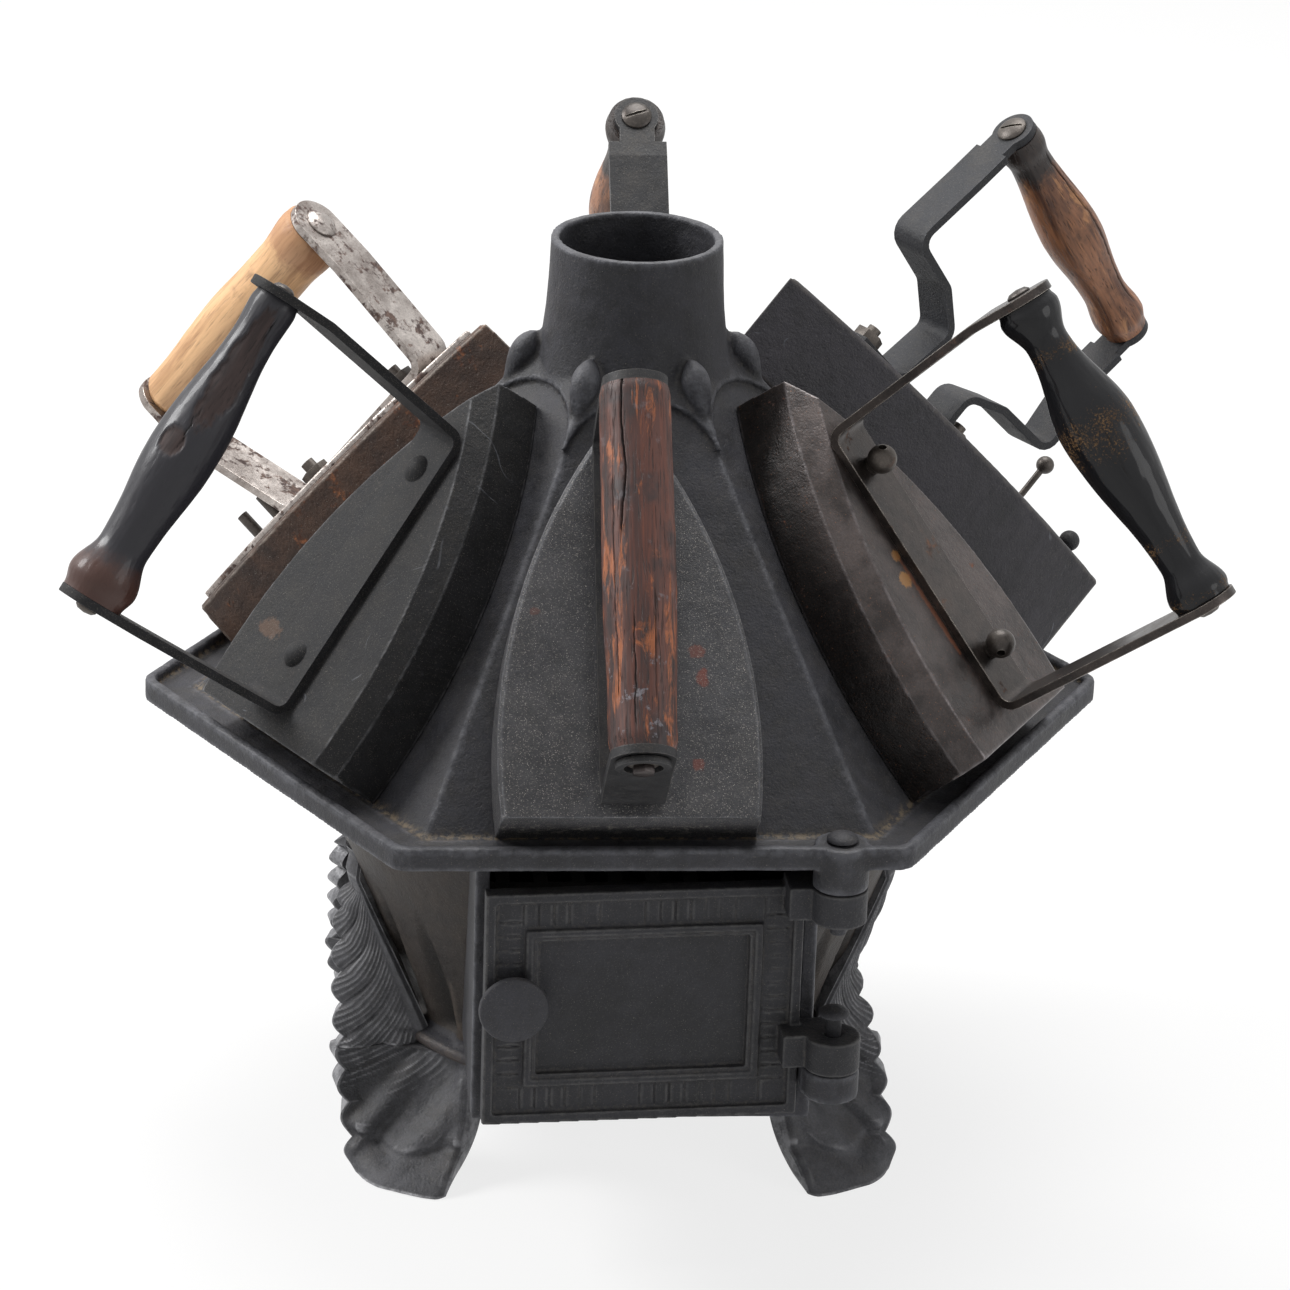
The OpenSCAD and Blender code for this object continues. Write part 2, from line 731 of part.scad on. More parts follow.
module fire_door() {
  frame = moulding_width + flute_band;
  color(BLACKED)
  swung()
  difference() {
    union() {
      translate([door_right - door_width, -mouth_front - fit, door_top - door_height])
        rotate([90, 0, 0])
          difference() {
            union() {
              linear_extrude(door_plate)
                door_field(0);
              moulding(0, moulding_width, 0, door_plate + moulding_rise);
              moulding(frame, frame + 3, 0, door_plate + moulding_rise);
              moulding(frame + 3, frame + 5, 0, door_plate + moulding_rise / 2);
            }
            door_flutes();
            translate([0, 0, door_plate - 1.5])
              linear_extrude(5)
                door_field(frame + 5);
          }
      door_knuckle(upper_knuckle_top);
      door_knuckle(lower_knuckle_top);
    }
    translate([hinge_x, -hinge_y, 0])
      cylinder(r = pin_radius + pin_clearance, h = 2 * ledge_height);
    // hole of the knob's shank
    translate([knob_x, -mouth_front, knob_z])
      rotate([90, 0, 0])
        cylinder(r = knob_shank + 0.1, h = 30, center = true);
  }
}

knob_x = door_right - door_width + 11;
knob_z = door_top - door_height / 2 + 3;
knob_shank = 4;

module door_knob() {
  face = knob_reach - 3;
  color(BLACKED)
  swung()
  translate([knob_x, -mouth_front - fit, knob_z])
    rotate([90, 0, 0])
      rotate_extrude()
        polygon([[0, 0], [knob_shank, 0], [knob_shank, door_plate + moulding_rise],
          [knob_shank + 2, door_plate + moulding_rise], [knob_shank + 1.5, face - 4], [knob_radius - 2.5, face - 3], [knob_radius, face],
          [knob_radius - 0.5, face + 2], [knob_radius - 3, knob_reach], [0, knob_reach + 0.8]]);
}

// ---------------------------------------------------------------- flatirons

// One side of a sole: a large disc of the given edge profile, cut to the arch
module sole_disc(w, l, belly, edge) {
  run = l - belly;
  radius = (run * run + w * w / 4) / w;
  translate([w / 2 - radius, belly, 0])
    rotate_extrude($fn = 180)
      polygon(concat([[0, 0]], [for (p = edge) [radius + p[0], p[1]]], [[0, edge[len(edge) - 1][1]]]));
}

// Solid whose plan is a pointed arch: heel on the X axis, tip towards +Y
module arched_solid(w, l, belly, edge) {
  top = edge[len(edge) - 1][1];
  intersection() {
    sole_disc(w, l, belly, edge);
    mirror([1, 0, 0])
      sole_disc(w, l, belly, edge);
    translate([-w, 0, 0])
      cube([2 * w, l + 5, top]);
  }
}

// Edge profiles as [outwards from the sole's edge, height]
function plain_edge(h) = [[-0.6, 0], [0, 0.8], [-1, h - 1.5], [-2.5, h]];
function bevelled_edge(h, bevel) = [[-0.6, 0], [0, 0.8], [-1, h - bevel], [-bevel, h]];

module rivet_holes(places, h, r) {
  for (y = places)
    translate([0, y, h - rivet_depth - 1])
      cylinder(r = r + 0.1, h = rivet_depth + 20);
}

module iron_body(h, edge, places) {
  difference() {
    arched_solid(iron_width, iron_length, iron_belly, edge);
    rivet_holes(places, h, rivet_radius);
  }
}

// Direction away from the iron and square to a grip
function off_grip(eyes) = left_of(unit(eyes[1] - eyes[0]));

// Handle strap on an iron of height h: two feet flat on the iron, and round ends
// that stand square to the grip about its eyes. A strap with shoulders narrows to
// a smaller eye just below it
module strap(h, feet, eyes, places, shoulders = false) {
  level = h + strap_thickness / 2;
  up = off_grip(eyes);
  straight = grip_radius + 4;
  difference() {
    bent_bar([eyes[0] + strap_width * up, eyes[0] - straight * up, [feet[0], level],
      [feet[1], level], eyes[1] - straight * up, eyes[1] + strap_width * up],
      strap_thickness, strap_width);
    rivet_holes(places, h, rivet_radius);
    rod_hole(eyes);
    if (shoulders)
      outside_eyes(eyes, eye_radius, eye_neck, eye_drop);
    else
      outside_eyes(eyes, strap_width / 2 + fit, strap_width, 0);
  }
}

// Shouldered eyes: radius, half width of the neck, and depth of the shoulders
eye_radius = 9.5;
eye_neck = 7.5;
eye_drop = 13;

// Everything past a strap's eyes, which stand on necks of the given half width
// that begin the given drop below them
module outside_eyes(eyes, radius, neck, drop) {
  along_grip(eyes, -strap_width)
    linear_extrude(iron_length + 2 * strap_width)
      difference() {
        translate([-strap_width, -2 * strap_width])
          square([2 * strap_width, 2 * strap_width + drop]);
        circle(r = radius);
        translate([-neck, 0])
          square([2 * neck, drop + cut]);
      }
}

// Hole for a grip's rod
module rod_hole(eyes) {
  along_grip(eyes, -strap_width)
    cylinder(r = rod_radius + 0.1, h = iron_length + 2 * strap_width);
}

// Puts its children's +Z along the grip from its low end, moved by the given start
module along_grip(eyes, start) {
  d = eyes[1] - eyes[0];
  translate([0, eyes[0][0], eyes[0][1]])
    rotate([atan2(d[1], d[0]) - 90, 0, 0])
      translate([0, 0, start])
        children();
}

function grip_space(eyes) = norm(eyes[1] - eyes[0]) - strap_thickness;

// Radius at the place t along a grip, eased between the profile's stations
function grip_radius_at(profile, t) =
  let (i = max([for (j = [0:len(profile) - 2]) if (profile[j][0] <= t) j]))
  let (from = profile[i], to = profile[i + 1])
  lerp(from[1], to[1], (1 - cos(180 * (t - from[0]) / (to[0] - from[0]))) / 2);

// Grip turned to a profile of [place from the low end to the high end, radius]
module grip(eyes, profile) {
  length = grip_space(eyes) - 2 * 0.1;
  steps = 32;
  along_grip(eyes, strap_thickness / 2 + 0.1)
    difference() {
      rotate_extrude()
        polygon(concat([[0, 0]],
          [for (k = [0:steps]) [grip_radius_at(profile, k / steps), length * k / steps]],
          [[0, length]]));
      translate([0, 0, -cut])
        cylinder(r = rod_radius + 0.1, h = length + 2 * cut);
    }
}

// Rod through grip and straps with a round head at either end
module grip_rod(eyes, head) {
  reach = grip_space(eyes) + 2 * strap_thickness;
  along_grip(eyes, -strap_thickness / 2)
    union() {
      translate([0, 0, -0.5])
        cylinder(r = rod_radius, h = reach + 1);
      for (e = [0, 1])
        translate([0, 0, e * reach])
          mirror([0, 0, 1 - e])
            rotate_extrude()
              polygon([[0, 0], [head, 0], [head, 0.8], [head * 0.7, 2], [0, 2.5]]);
    }
}

// Rivets through a strap's foot, with domed or ball heads
module rivets(h, places, head, ball) {
  for (y = places)
    translate([0, y, h])
      union() {
        translate([0, 0, -rivet_depth])
          cylinder(r = rivet_radius, h = rivet_depth + strap_thickness + 1);
        translate([0, 0, strap_thickness])
          if (ball) {
            cylinder(r = rivet_radius + 1, h = head * 0.7);
            translate([0, 0, head])
              sphere(r = head);
          } else {
            intersection() {
              cylinder(r = head, h = head);
              translate([0, 0, -head * 0.6])
                sphere(r = head * 1.17);
            }
          }
      }
}

// Grip profiles: whittled, turned between two necks, pear-shaped and plain
whittled = [[0, 12.3], [0.03, 13], [0.5, 14.2], [0.9, 13.8], [0.98, 13.6], [1, 13]];
two_necked = [[0, 11.5], [0.03, 12.7], [0.13, 8.8], [0.58, grip_radius], [0.87, 8.8], [0.97, 12.7], [1, 11.5]];
pear = [[0, 12.5], [0.06, 14.4], [0.17, 10.4], [0.5, 14], [0.88, 9], [0.97, 9.6], [1, 9]];
waisted = [[0, 9.5], [0.07, 11.4], [0.2, 9.6], [0.52, 13.2], [0.88, 9], [0.95, 10.4], [1, 9.8]];
swelling = [[0, 11], [0.05, 13], [0.15, 10], [0.5, grip_radius], [0.85, 10.5], [0.96, 13], [1, 12]];
plain = [[0, 9.5], [0.03, 12], [0.5, 14], [0.8, 13], [0.95, 14.5], [0.99, 14], [1, 13]];

// Sizes of each iron's handle: strap feet, then the grip's eyes
front_feet = [5, 152];
front_eyes = [[8, front_grip_height], [156, front_grip_height]];
side_feet = [10, 140];
side_eyes = [[6, side_grip_height], [146, side_grip_height + 4]];
back_eyes = [[12, side_grip_height], [150, side_grip_height - 2]];
back_left_feet = [40, 138];
back_left_eyes = [[24, back_left_grip_height], [141, back_left_grip_height]];
side_rivets = [33, 121];
front_rivets = [40, 118];
back_left_bolts = [56, 119];

// Distance of a resting heel from the foot of the slope
heel_gap = 0.4;
module resting(shift = 0) { translate([shift, heel_gap, 0]) children(); }

module front_iron_body() {
  color(GREY_IRON) on_slope(0) resting(front_shift) iron_body(iron_thickness, plain_edge(iron_thickness), front_rivets);
}
module front_iron_strap() {
  color(BLACKED) on_slope(0) resting(front_shift) strap(iron_thickness, front_feet, front_eyes, front_rivets);
}
module front_iron_grip() {
  color(DARK_WOOD) on_slope(0) resting(front_shift) grip(front_eyes, whittled);
}
module front_iron_rod() {
  color(STEEL) on_slope(0) resting(front_shift) grip_rod(front_eyes, 7);
}
module front_iron_rivets() {
  color(BLACKED) on_slope(0) resting(front_shift) rivets(iron_thickness, front_rivets, 6, false);
}

module front_right_iron_body() {
  color(RUSTED) on_slope(1) resting() iron_body(thick_iron, bevelled_edge(thick_iron, 9), side_rivets);
}
module front_right_iron_strap() {
  color(STEEL) on_slope(1) resting() strap(thick_iron, side_feet, side_eyes, side_rivets);
}
module front_right_iron_grip() {
  color(LACQUER) on_slope(1) resting() grip(side_eyes, two_necked);
}
module front_right_iron_rod() {
  color(STEEL) on_slope(1) resting() grip_rod(side_eyes, 5);
}
module front_right_iron_studs() {
  color(RUSTED) on_slope(1) resting() rivets(thick_iron, side_rivets, 6, true);
}

module back_iron_body() {
  color(GREY_IRON) on_slope(3) resting(back_shift) iron_body(iron_thickness, plain_edge(iron_thickness), side_rivets);
}
module back_iron_strap() {
  color(BLACKED) on_slope(3) resting(back_shift) strap(iron_thickness, side_feet, back_eyes, side_rivets, true);
}
module back_iron_grip() {
  color(DARK_WOOD) on_slope(3) resting(back_shift) grip(back_eyes, swelling);
}
module back_iron_rod() {
  color(STEEL) on_slope(3) resting(back_shift) grip_rod(back_eyes, 6.5);
}
module back_iron_rivets() {
  color(BLACKED) on_slope(3) resting(back_shift) rivets(iron_thickness, side_rivets, 6, false);
}

cover_thickness = 3;
cover_level = iron_thickness - cover_thickness;
cover_pins = [13, 27];
cover_pin_radius = 2.5;
module back_left_iron_body() {
  color(RUSTED) on_slope(4) resting() iron_body(cover_level, plain_edge(cover_level), back_left_bolts);
}
module back_left_iron_cover() {
  color(NICKEL) on_slope(4) resting()
    difference() {
      translate([0, 4, cover_level])
        arched_solid(iron_width - 10, iron_length - 14, iron_belly - 4, [[0, 0], [0, cover_thickness - 0.6], [-1, cover_thickness]]);
      rivet_holes(back_left_bolts, cover_level, rivet_radius);
      for (y = cover_pins)
        translate([0, y, 0])
          cylinder(r = cover_pin_radius + 0.1, h = 2 * iron_thickness);
    }
}
module back_left_iron_strap() {
  color(NICKEL) on_slope(4) resting()
    strap(cover_level + cover_thickness, back_left_feet, back_left_eyes, back_left_bolts);
}
module back_left_iron_grip() {
  color(PALE_WOOD) on_slope(4) resting() grip(back_left_eyes, plain);
}
module back_left_iron_rod() {
  color(STEEL) on_slope(4) resting() grip_rod(back_left_eyes, 7);
}
module back_left_iron_bolts() {
  through = rivet_depth + cover_thickness + strap_thickness;
  color(STEEL) on_slope(4) resting()
    for (y = back_left_bolts)
      translate([0, y, cover_level - rivet_depth])
        union() {
          cylinder(r = rivet_radius, h = through + 9);
          translate([0, 0, through])
            cylinder(r = 6.5, h = 5, $fn = 6);
        }
}
module back_left_iron_pins() {
  color(STEEL) on_slope(4) resting()
    for (y = cover_pins)
      translate([0, y, cover_level])
        cylinder(r = cover_pin_radius, h = cover_thickness + 18);
}

module front_left_iron_body() {
  color(GREY_IRON) on_slope(5) resting() iron_body(iron_thickness, bevelled_edge(iron_thickness, 8), side_rivets);
}
module front_left_iron_strap() {
  color(BLACKED) on_slope(5) resting() strap(iron_thickness, side_feet, side_eyes, side_rivets);
}
module front_left_iron_grip() {
  color(LACQUER) on_slope(5) resting() grip(side_eyes, pear);
}
module front_left_iron_rod() {
  color(STEEL) on_slope(5) resting() grip_rod(side_eyes, 4.5);
}
module front_left_iron_rivets() {
  color(BLACKED) on_slope(5) resting() rivets(iron_thickness, side_rivets, 6, false);
}

// ---------------------------------------------------------------- box iron

// The box iron's heel lies on the rim and its tip against the collar's foot.
// Its frame starts where the sole crosses the rim's outer edge.
rim_run = -(rim_width + trough_width) * cos(slope_angle) + rim_height * sin(slope_angle) + 0.3;
rim_stand = (rim_width + trough_width) * sin(slope_angle) + rim_height * cos(slope_angle) + 0.3;
box_tilt = 4;
module on_rim() {
  on_slope(2)
    translate([0, rim_run, rim_stand])
      rotate([-box_tilt, 0, 0])
        translate([0, -box_overhang, 0])
          children();
}

box_belly = 30;
gate_seat = 5;
gate_middle = gate_seat + gate_clearance + gate_thickness / 2;
lifter_x = 20;
lifter_radius = 1.5;
heel_knob_x = -34;
heel_knob_y = gate_seat + gate_thickness + 9;
box_bracket_studs = [78, 149];
box_eyes = [[38, 138], [158, 155]];

module box_iron_body() {
  color(BLACKED) on_rim()
    difference() {
      arched_solid(box_width, box_length, box_belly, [[-0.8, 0], [0, 1], [0, box_height - 1.5], [-1.5, box_height]]);
      // chamber for the slug, open at the heel
      translate([0, 0, box_wall])
        intersection() {
          translate([0, -cut, 0])
            arched_solid(box_width - 2 * box_wall, box_length - 2 * box_wall, box_belly, [[0, 0], [0, box_height - 2 * box_wall]]);
          translate([-box_width, -2 * cut, 0])
            cube([2 * box_width, box_length, box_height]);
        }
      // groove in which the gate lifts, open at the top
      translate([-box_width / 2 + box_wall / 2 - gate_clearance, gate_seat, box_wall / 2])
        cube([box_width - box_wall + 2 * gate_clearance, gate_thickness + 2 * gate_clearance, box_height]);
      for (y = box_bracket_studs)
        translate([0, y, box_height - box_wall - cut])
          cylinder(r = rivet_radius + 0.1, h = box_wall + 2 * cut);
      translate([heel_knob_x, heel_knob_y, box_height - 4])
        cylinder(r = rivet_radius + 0.1, h = 10);
    }
}

module box_iron_gate() {
  color(BLACKED) on_rim()
    difference() {
      translate([-box_width / 2 + box_wall / 2, gate_seat + gate_clearance, box_wall / 2 + fit])
        cube([box_width - box_wall, gate_thickness, box_height - box_wall / 2 - 2]);
      translate([lifter_x, gate_middle, box_height - 12])
        cylinder(r = lifter_radius + 0.05, h = 30);
    }
}

module box_iron_gate_lifter() {
  color(BLACKED) on_rim()
    translate([lifter_x, gate_middle, box_height - 12])
      union() {
        cylinder(r = lifter_radius, h = 46);
        translate([0, 0, 46])
          sphere(r = 4);
      }
}

module box_iron_slug() {
  color(RUSTED) on_rim()
    translate([0, gate_seat + gate_thickness + 3, box_wall])
      arched_solid(box_width - 2 * box_wall - 8, box_length - 50, box_belly - 8, [[-1, 0], [0, 2], [0, 22], [-2, 24]]);
}

module box_iron_front_bracket() {
  top = box_height + strap_thickness / 2;
  up = off_grip(box_eyes);
  color(BLACKED) on_rim()
    box_bracket([[158, top], [128, top], [122, 74], [140, 86], [168, 90],
      box_eyes[1] - 30 * up, box_eyes[1] + bracket_width * up], box_bracket_studs[1]);
}
module box_iron_rear_bracket() {
  top = box_height + strap_thickness / 2;
  up = off_grip(box_eyes);
  color(BLACKED) on_rim()
    box_bracket([[66, top], [92, top], [92, 62], [72, 70], [38, 72],
      box_eyes[0] - 30 * up, box_eyes[0] + bracket_width * up], box_bracket_studs[0]);
}
// A bracket bent in an S from its foot on the iron to its eye at the grip
module box_bracket(line, stud) {
  difference() {
    bent_bar(line, strap_thickness, bracket_width, 7);
    translate([0, stud, box_height - 1])
      cylinder(r = rivet_radius + 0.1, h = 10);
    rod_hole(box_eyes);
    outside_eyes(box_eyes, eye_radius, eye_neck, eye_drop);
  }
}

module box_iron_bracket_studs() {
  color(BLACKED) on_rim()
    for (y = box_bracket_studs)
      translate([0, y, box_height - box_wall])
        union() {
          cylinder(r = rivet_radius, h = box_wall + strap_thickness + 8);
          translate([0, 0, box_wall + strap_thickness])
            cylinder(r = 6.5, h = 5, $fn = 6);
        }
}
module box_iron_grip() {
  color(BROWN_WOOD) on_rim() grip(box_eyes, waisted);
}
module box_iron_rod() {
  color(STEEL) on_rim() grip_rod(box_eyes, 6.5);
}
module box_iron_heel_knob() {
  color(BLACKED) on_rim()
    translate([heel_knob_x, heel_knob_y, box_height - 3])
      union() {
        cylinder(r = rivet_radius, h = 8);
        translate([0, 0, 8])
          sphere(r = 4.5);
      }
}

hood();
fire_pot();
mouth_box();
grate();
leg_front_left();
leg_front_right();
leg_back_left();
leg_back_right();
leg_bolts();
leg_nuts();
upper_hinge_pin();
lower_hinge_pin();
fire_door();
door_knob();
front_iron_body();
front_iron_strap();
front_iron_grip();
front_iron_rod();
front_iron_rivets();
front_right_iron_body();
front_right_iron_strap();
front_right_iron_grip();
front_right_iron_rod();
front_right_iron_studs();
box_iron_body();
box_iron_gate();
box_iron_gate_lifter();
box_iron_slug();
box_iron_front_bracket();
box_iron_rear_bracket();
box_iron_bracket_studs();
box_iron_grip();
box_iron_rod();
box_iron_heel_knob();
back_iron_body();
back_iron_strap();
back_iron_grip();
back_iron_rod();
back_iron_rivets();
back_left_iron_body();
back_left_iron_cover();
back_left_iron_strap();
back_left_iron_grip();
back_left_iron_rod();
back_left_iron_bolts();
back_left_iron_pins();
front_left_iron_body();
front_left_iron_strap();
front_left_iron_grip();
front_left_iron_rod();
front_left_iron_rivets();
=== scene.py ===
# %% [markdown]
# The stove and its flatirons
#
# A small cast-iron stove heats six flatirons that lean on its six-sided hood. The
# shapes were drawn in CAD and arrive here as a fixed frame: every CAD node already
# stands where it belongs, in metres, with +Z up and the fire door towards -Y. In
# this lesson each visible piece gets a better surface, either by a new mesh that
# stands for its CAD node or by a new material on the node itself.

import json
import math
from types import SimpleNamespace

import bpy
import numpy as np
from mathutils import Matrix, Vector, noise

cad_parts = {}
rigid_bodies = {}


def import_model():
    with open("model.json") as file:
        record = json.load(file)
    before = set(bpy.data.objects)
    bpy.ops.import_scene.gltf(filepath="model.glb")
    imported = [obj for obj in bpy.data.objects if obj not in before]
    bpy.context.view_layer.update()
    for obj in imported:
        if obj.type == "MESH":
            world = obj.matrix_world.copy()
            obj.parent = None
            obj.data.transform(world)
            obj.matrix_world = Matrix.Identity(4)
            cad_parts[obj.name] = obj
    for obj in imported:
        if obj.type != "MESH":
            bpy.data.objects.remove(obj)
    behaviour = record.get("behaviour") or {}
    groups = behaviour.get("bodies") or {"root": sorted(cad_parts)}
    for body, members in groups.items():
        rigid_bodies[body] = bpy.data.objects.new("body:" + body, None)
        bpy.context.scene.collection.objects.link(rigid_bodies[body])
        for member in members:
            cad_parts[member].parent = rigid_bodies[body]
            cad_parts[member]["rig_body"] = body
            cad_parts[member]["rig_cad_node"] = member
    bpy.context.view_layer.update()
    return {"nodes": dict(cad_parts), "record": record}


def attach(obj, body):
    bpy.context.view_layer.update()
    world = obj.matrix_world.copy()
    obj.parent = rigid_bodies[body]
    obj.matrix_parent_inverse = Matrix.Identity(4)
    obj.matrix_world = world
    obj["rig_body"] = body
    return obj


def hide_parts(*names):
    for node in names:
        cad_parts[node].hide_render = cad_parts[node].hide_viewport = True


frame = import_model()
body_of = {n: b for b, ns in frame["record"]["behaviour"]["bodies"].items() for n in ns}

# %% [markdown]
# Units and frames
#
# The numbers of this object are easier to read in millimetres. The irons lean on
# the slopes, so each has a frame of its own: the X axis runs along the heel, Y
# runs up the slope and Z stands out of it. The box iron lies on the ledge's rim
# instead, a little flatter than its slope.

# %% Frames of the slopes and of the grips
MM = 0.001
SLOPE = math.radians(51)
LEDGE_HEIGHT = 184 * MM
LEDGE_RADIUS = 200 * MM
RIM = 4.5 * MM
TROUGH = 15.5 * MM
SLOPE_FOOT = LEDGE_RADIUS * math.cos(math.radians(30)) - RIM - TROUGH


def slope_frame(k):
    """Frame of the iron on slope k, counted anticlockwise from the front."""
    return (
        Matrix.Rotation(math.radians(60 * k), 4, "Z")
        @ Matrix.Translation((0, -SLOPE_FOOT, LEDGE_HEIGHT))
        @ Matrix.Rotation(SLOPE, 4, "X")
    )


def rim_frame():
    """Frame of the box iron, whose heel hangs over the rim."""
    gap = 0.3 * MM
    run = -(RIM + TROUGH) * math.cos(SLOPE) + RIM * math.sin(SLOPE) + gap
    stand = (RIM + TROUGH) * math.sin(SLOPE) + RIM * math.cos(SLOPE) + gap
    tilt = Matrix.Rotation(math.radians(-4), 4, "X")
    overhang = Matrix.Translation((0, -18 * MM, 0))
    return slope_frame(2) @ Matrix.Translation((0, run, stand)) @ tilt @ overhang


def grip_frame(iron, low, high):
    """Frame of a grip between its two eyes, +Z from the low eye to the high one."""
    lean = math.atan2(high[1] - low[1], high[0] - low[0]) - math.pi / 2
    return iron @ Matrix.Translation((0, low[0] * MM, low[1] * MM)) @ Matrix.Rotation(lean, 4, "X")


def resting(k, shift=0.0):
    """Frame of an iron that rests on slope k, pushed aside by a shift in millimetres."""
    return slope_frame(k) @ Matrix.Translation((shift * MM, 0.4 * MM, 0))


iron_frames = {
    "front_iron": resting(0, -9.5),
    "front_right_iron": resting(1),
    "box_iron": rim_frame(),
    "back_iron": resting(3, -11),
    "back_left_iron": resting(4),
    "front_left_iron": resting(5),
}
print("irons", sorted(iron_frames))

# %% [markdown]
# The camera
#
# The photograph looks down on the door side from about 22 degrees with a long
# lens, a little from the left and with a small roll. The three numbers below give
# the direction from which it looks at its aim.

# %% Camera
LENS, DISTANCE = 148.2, 2.21009
yaw, height, roll = (math.radians(a) for a in (-4.963, 22.296, 1.941))
aim = Vector((0.008633, 0, 0.202836))
back = Vector((math.sin(yaw) * math.cos(height), -math.cos(yaw) * math.cos(height), math.sin(height)))
right = Vector((0, 0, 1)).cross(back).normalized()
above = back.cross(right)
rolled_right = math.cos(roll) * right + math.sin(roll) * above
rolled_up = math.cos(roll) * above - math.sin(roll) * right
camera = bpy.data.objects.new("Camera", bpy.data.cameras.new("Camera"))
bpy.context.scene.collection.objects.link(camera)
camera.data.lens = LENS
camera.data.sensor_width = 36
turned = Matrix((rolled_right, rolled_up, back)).transposed().to_4x4()
camera.matrix_world = Matrix.Translation(aim + DISTANCE * back) @ turned
bpy.context.scene.camera = camera
bpy.context.scene.view_settings.view_transform = "Standard"
print("camera at", [round(v, 3) for v in camera.location])

# %% [markdown]
# Light and floor
#
# A studio softbox stands high on the left, a wide one hangs overhead, a faint one
# lifts the right side, and the pale room fills the shadows. The room and the floor
# look white to the camera and in reflections, while the light that they give stays
# moderate, so the black iron keeps its depth. The floor mixes a white glow for the
# camera with a plain matt surface, which keeps the soft shadow under the stove.

# %% Lights
def softbox(name, place, target, size, energy):
    """A round lamp that shines from its place towards a target."""
    lamp = bpy.data.lights.new(name, "AREA")
    lamp.shape = "DISK"
    lamp.size = size
    lamp.energy = energy
    box = bpy.data.objects.new(name, lamp)
    bpy.context.scene.collection.objects.link(box)
    box.location = place
    box.rotation_euler = (Vector(target) - Vector(place)).to_track_quat("-Z", "Y").to_euler()


softbox("left softbox", (-1.8, 0.5, 1.6), (0, 0, 0.25), 1.0, 50)
softbox("overhead softbox", (0.15, 0.75, 2.2), (0, 0, 0.2), 1.6, 54)
softbox("right fill", (1.9, -1.1, 0.9), (0, 0, 0.2), 1.2, 9)


# %% A shader node
def add(tree, kind, settings=None, inputs=None):
    """Adds a shader node; inputs are values or the sockets that feed them."""
    node = tree.nodes.new("ShaderNode" + kind)
    for key, value in (settings or {}).items():
        setattr(node, key, value)
    for key, value in (inputs or {}).items():
        if isinstance(value, bpy.types.NodeSocket):
            tree.links.new(value, node.inputs[key])
        else:
            node.inputs[key].default_value = value
    return node


# %% World and floor
def seen_directly(tree):
    """1 for rays that show the backdrop: to the camera, in mirrors, through glass."""
    path = add(tree, "LightPath").outputs
    seen = path["Is Camera Ray"]
    for ray in ("Is Glossy Ray", "Is Transmission Ray"):
        seen = add(tree, "Math", {"operation": "MAXIMUM"}, {0: seen, 1: path[ray]}).outputs[0]
    return seen


world = bpy.data.worlds.new("Room")
bpy.context.scene.world = world
world.use_nodes = True
tree = world.node_tree
tree.nodes.clear()
room_light = add(tree, "Background", None, {"Color": (0.96, 0.98, 1, 1), "Strength": 0.22})
room_seen = add(tree, "Background", None, {"Color": (1, 1, 1, 1), "Strength": 1.0})
seen = seen_directly(tree)
mixed = add(tree, "MixShader", None, {0: seen, 1: room_light.outputs[0], 2: room_seen.outputs[0]})
add(tree, "OutputWorld", None, {"Surface": mixed.outputs[0]})

bpy.ops.object.select_all(action="DESELECT")
bpy.ops.mesh.primitive_plane_add(size=14, location=(0, 0, -0.0004))
floor = bpy.context.object
floor.name = "floor"
paper = bpy.data.materials.new("pale floor")
paper.use_nodes = True
tree = paper.node_tree
tree.nodes.clear()
matt = add(tree, "BsdfDiffuse", None, {"Color": (0.92, 0.915, 0.905, 1)})
glow = add(tree, "Emission", None, {"Color": (1, 1, 1, 1), "Strength": 1.0})
share = add(tree, "Math", {"operation": "MULTIPLY"}, {0: seen_directly(tree), 1: 0.8})
lit = add(tree, "MixShader", None, {0: share.outputs[0], 1: matt.outputs[0], 2: glow.outputs[0]})
add(tree, "OutputMaterial", None, {"Surface": lit.outputs[0]})
floor.data.materials.append(paper)
print("floor and lights are in place")

# %% [markdown]
# Effects that many finishes share
#
# Old iron shows the same few things everywhere: a sandy casting skin, edges rubbed
# bright, sparse pale specks, dust on what faces up, rust in patches and fine
# scratches. Each effect is a node group that puts out masks and heights; a finish
# then mixes them with its own colours. The groups read a place vector, so the same
# pattern can follow a piece's own frame.

# %% A new node group
def new_group(name, numbers, build):
    """A group whose build function turns a place and numbers into named outputs."""
    group = bpy.data.node_groups.new(name, "ShaderNodeTree")
    group.interface.new_socket("Vector", in_out="INPUT", socket_type="NodeSocketVector")
    for label, value in numbers.items():
        socket = group.interface.new_socket(label, in_out="INPUT", socket_type="NodeSocketFloat")
        socket.default_value = value
    start = group.nodes.new("NodeGroupInput").outputs
    results = build(start["Vector"], *(start[label] for label in numbers))
    for label in results:
        group.interface.new_socket(label, in_out="OUTPUT", socket_type="NodeSocketFloat")
    end = group.nodes.new("NodeGroupOutput").inputs
    for label, result in results.items():
        group.links.new(result, end[label])
    return group


def home(*values):
    """The node tree that the first socket among some values belongs to."""
    return next(v.id_data for v in values if isinstance(v, bpy.types.NodeSocket))


